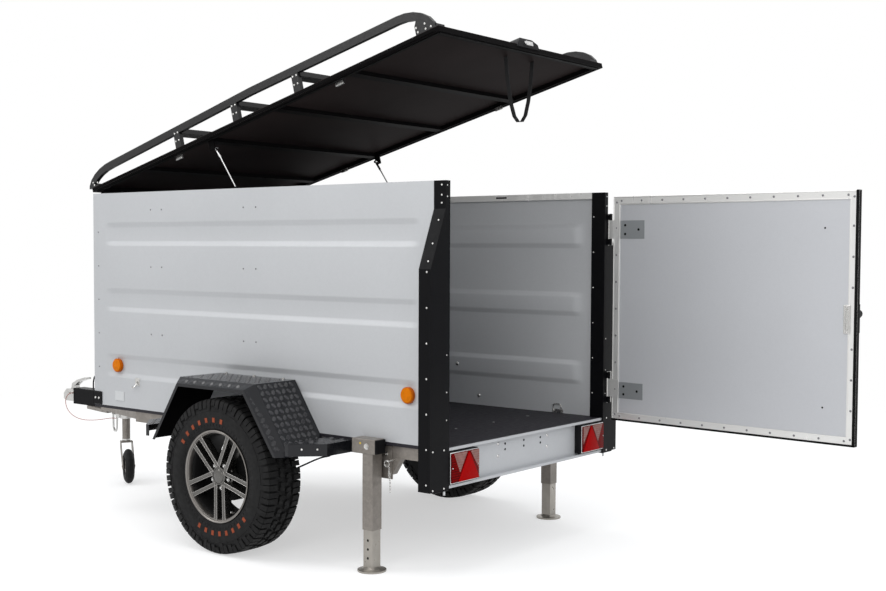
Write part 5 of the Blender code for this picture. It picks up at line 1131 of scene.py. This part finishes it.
wheel_place = (ROOT @ Matrix.Translation((JOCKEY_X, JOCKEY_Y, 0))
               @ Matrix.Rotation(math.radians(-30), 4, "Z")
               @ Matrix.Translation((-0.100, 0, 0.104)))
JOCKEY_HUB = ((0.0070, -0.0300), (0.030, -0.0180), (0.046, -0.0165), (0.0465, 0.0165),
              (0.030, 0.0180), (0.0070, 0.0300))
add("jockey_hub", [lathe(JOCKEY_HUB, "y", (0, 0, 0), 36),
                   block((0.010, -0.0175, -0.003), (0.046, 0.0175, 0.003))], GALVANISED,
    body="jockey_wheel", place=wheel_place)
BAND = ((0.0240, 0.0), (0.0252, 0.001), (0.0252, 0.009), (0.0240, 0.010))
bands = [lathe(BAND, "z", (JOCKEY_X, JOCKEY_Y, z), 32) for z in (0.250, 0.740)]
add("jockey_bands", bands, ZINC, body="jockey_column", slot="galvanised")
GRIP = ((0.0, 0.862), (0.0125, 0.862), (0.0150, 0.850), (0.0135, 0.800), (0.0125, 0.787),
        (0.0, 0.787))
add("jockey_grip", lathe(GRIP, "z", (3.073, JOCKEY_Y, 0), 24), PLASTIC, body="jockey_column")


# ---------------------------------------------------------------- stage, light and camera
def seen(tree):
    """1 for what the camera sees, also in metal and through glass, 0 for the light on the part."""
    rays = node(tree, "LightPath").outputs
    first = node(tree, "Math", {0: rays["Is Camera Ray"], 1: rays["Is Glossy Ray"]},
                 operation="MAXIMUM")
    second = node(tree, "Math", {0: first.outputs[0], 1: rays["Is Transmission Ray"]},
                  operation="MAXIMUM")
    return second.outputs[0]


def mixed(tree, share, first, second):
    made = node(tree, "MixShader", {"Fac": share, 1: first, 2: second})
    return made.outputs["Shader"]


def floor_material():
    """A pale floor that shows white where light falls on it and keeps the shadow.

    It fades to plain white far out.
    """
    material, tree, shader = graph("studio_floor")
    feed(tree, shader, {"Base Color": (0.55, 0.55, 0.55, 1), "Roughness": 0.9,
                        "Specular IOR Level": 0.0})
    plain = shader.outputs["BSDF"]
    lift = node(tree, "Emission", {"Strength": 0.52}).outputs["Emission"]
    lifted = node(tree, "AddShader", {0: plain, 1: lift}).outputs["Shader"]
    white = node(tree, "Emission").outputs["Emission"]
    spot = node(tree, "TexCoord").outputs["Object"]
    away = node(tree, "VectorMath", {0: spot}, operation="LENGTH").outputs["Value"]
    fade = node(tree, "MapRange", {"From Min": 3.2, "From Max": 6.5, "Value": away})
    far = mixed(tree, fade.outputs["Result"], lifted, white)
    feed(tree, tree.nodes["Material Output"], {"Surface": mixed(tree, seen(tree), plain, far)})
    return material


mesh = bpy.data.meshes.new("studio_floor")
shape = bmesh.new()
bmesh.ops.create_grid(shape, x_segments=1, y_segments=1, size=40)
shape.to_mesh(mesh)
shape.free()
mesh.materials.append(floor_material())
ground = bpy.data.objects.new("studio_floor", mesh)
ground.location = (0, 0, -0.0005)
bpy.context.scene.collection.objects.link(ground)

SKY = 0.95                  # strength of the sky's light
world = bpy.data.worlds.new("studio")
bpy.context.scene.world = world
world.use_nodes = True
tree = world.node_tree
sky = tree.nodes["Background"]
way = node(tree, "TexCoord").outputs["Generated"]
rise = node(tree, "SeparateXYZ", {"Vector": way}).outputs["Z"]
ramp = node(tree, "ValToRGB", {"Fac": rise})
for stop, place, colour in zip(ramp.color_ramp.elements, (0.0, 0.9),
                               ((0.40, 0.42, 0.45, 1), (0.97, 0.985, 1.0, 1))):
    stop.position = place
    stop.color = colour
feed(tree, sky, {"Strength": SKY, "Color": ramp.outputs["Color"]})
white = node(tree, "Background", {"Color": (1, 1, 1, 1), "Strength": 1.0})
feed(tree, tree.nodes["World Output"],
     {"Surface": mixed(tree, seen(tree), sky.outputs["Background"], white.outputs["Background"])})

LIGHTS = (                  # name, place, target, size, power, colour
    ("key", (-3.5, 6.5, 3.6), (0.0, 0.3, 0.9), 4.0, 150, (1.0, 0.99, 0.97)),
    ("top", (0.2, 0.4, 6.5), (0.0, 0.0, 0.5), 5.0, 170, (1.0, 1.0, 1.0)),
    ("rear", (-7.5, -0.5, 3.5), (-0.5, -0.2, 0.9), 3.0, 110, (0.95, 0.97, 1.0)),
    ("front", (4.4, 5.4, 5.4), (0.0, 0.7, 1.2), 3.0, 110, (1.0, 1.0, 1.0)),
)
for name, place, target, size, power, colour in LIGHTS:
    light = bpy.data.lights.new(name, "AREA")
    light.shape = "SQUARE"
    light.size = size
    light.energy = power
    light.color = colour
    source = bpy.data.objects.new(name, light)
    source.location = place
    aim = Vector(target) - Vector(place)
    source.rotation_euler = aim.to_track_quat("-Z", "Y").to_euler()
    bpy.context.scene.collection.objects.link(source)

# Camera solved from the photo: its place, how it looks, and its lens in pixels of that image
WIDTH, HEIGHT = 886, 591
FOCAL_PX, CENTRE_PX = 1234.53, (467.0, 306.6)
SENSOR = 36
PLACE = Vector((-3.3102, 4.76, 1.4278))
yaw, pitch, roll = math.radians(-52.42), math.radians(2.62), math.radians(0.30)
look = Vector((math.cos(yaw) * math.cos(pitch), math.sin(yaw) * math.cos(pitch),
               -math.sin(pitch)))
right = Vector((math.sin(yaw), -math.cos(yaw), 0))
up = right.cross(look)
right, up = (right * math.cos(roll) + up * math.sin(roll),
             up * math.cos(roll) - right * math.sin(roll))
camera_data = bpy.data.cameras.new("camera")
camera_data.sensor_width = SENSOR
camera_data.lens = FOCAL_PX / WIDTH * SENSOR
camera_data.shift_x = (WIDTH / 2 - CENTRE_PX[0]) / WIDTH
camera_data.shift_y = (CENTRE_PX[1] - HEIGHT / 2) / WIDTH
camera = bpy.data.objects.new("camera", camera_data)
bpy.context.scene.collection.objects.link(camera)
camera.matrix_world = Matrix((
    (right.x, up.x, -look.x, PLACE.x - MIDDLE),
    (right.y, up.y, -look.y, PLACE.y),
    (right.z, up.z, -look.z, PLACE.z),
    (0, 0, 0, 1),
))
bpy.context.scene.camera = camera
bpy.context.scene.view_settings.view_transform = "Standard"
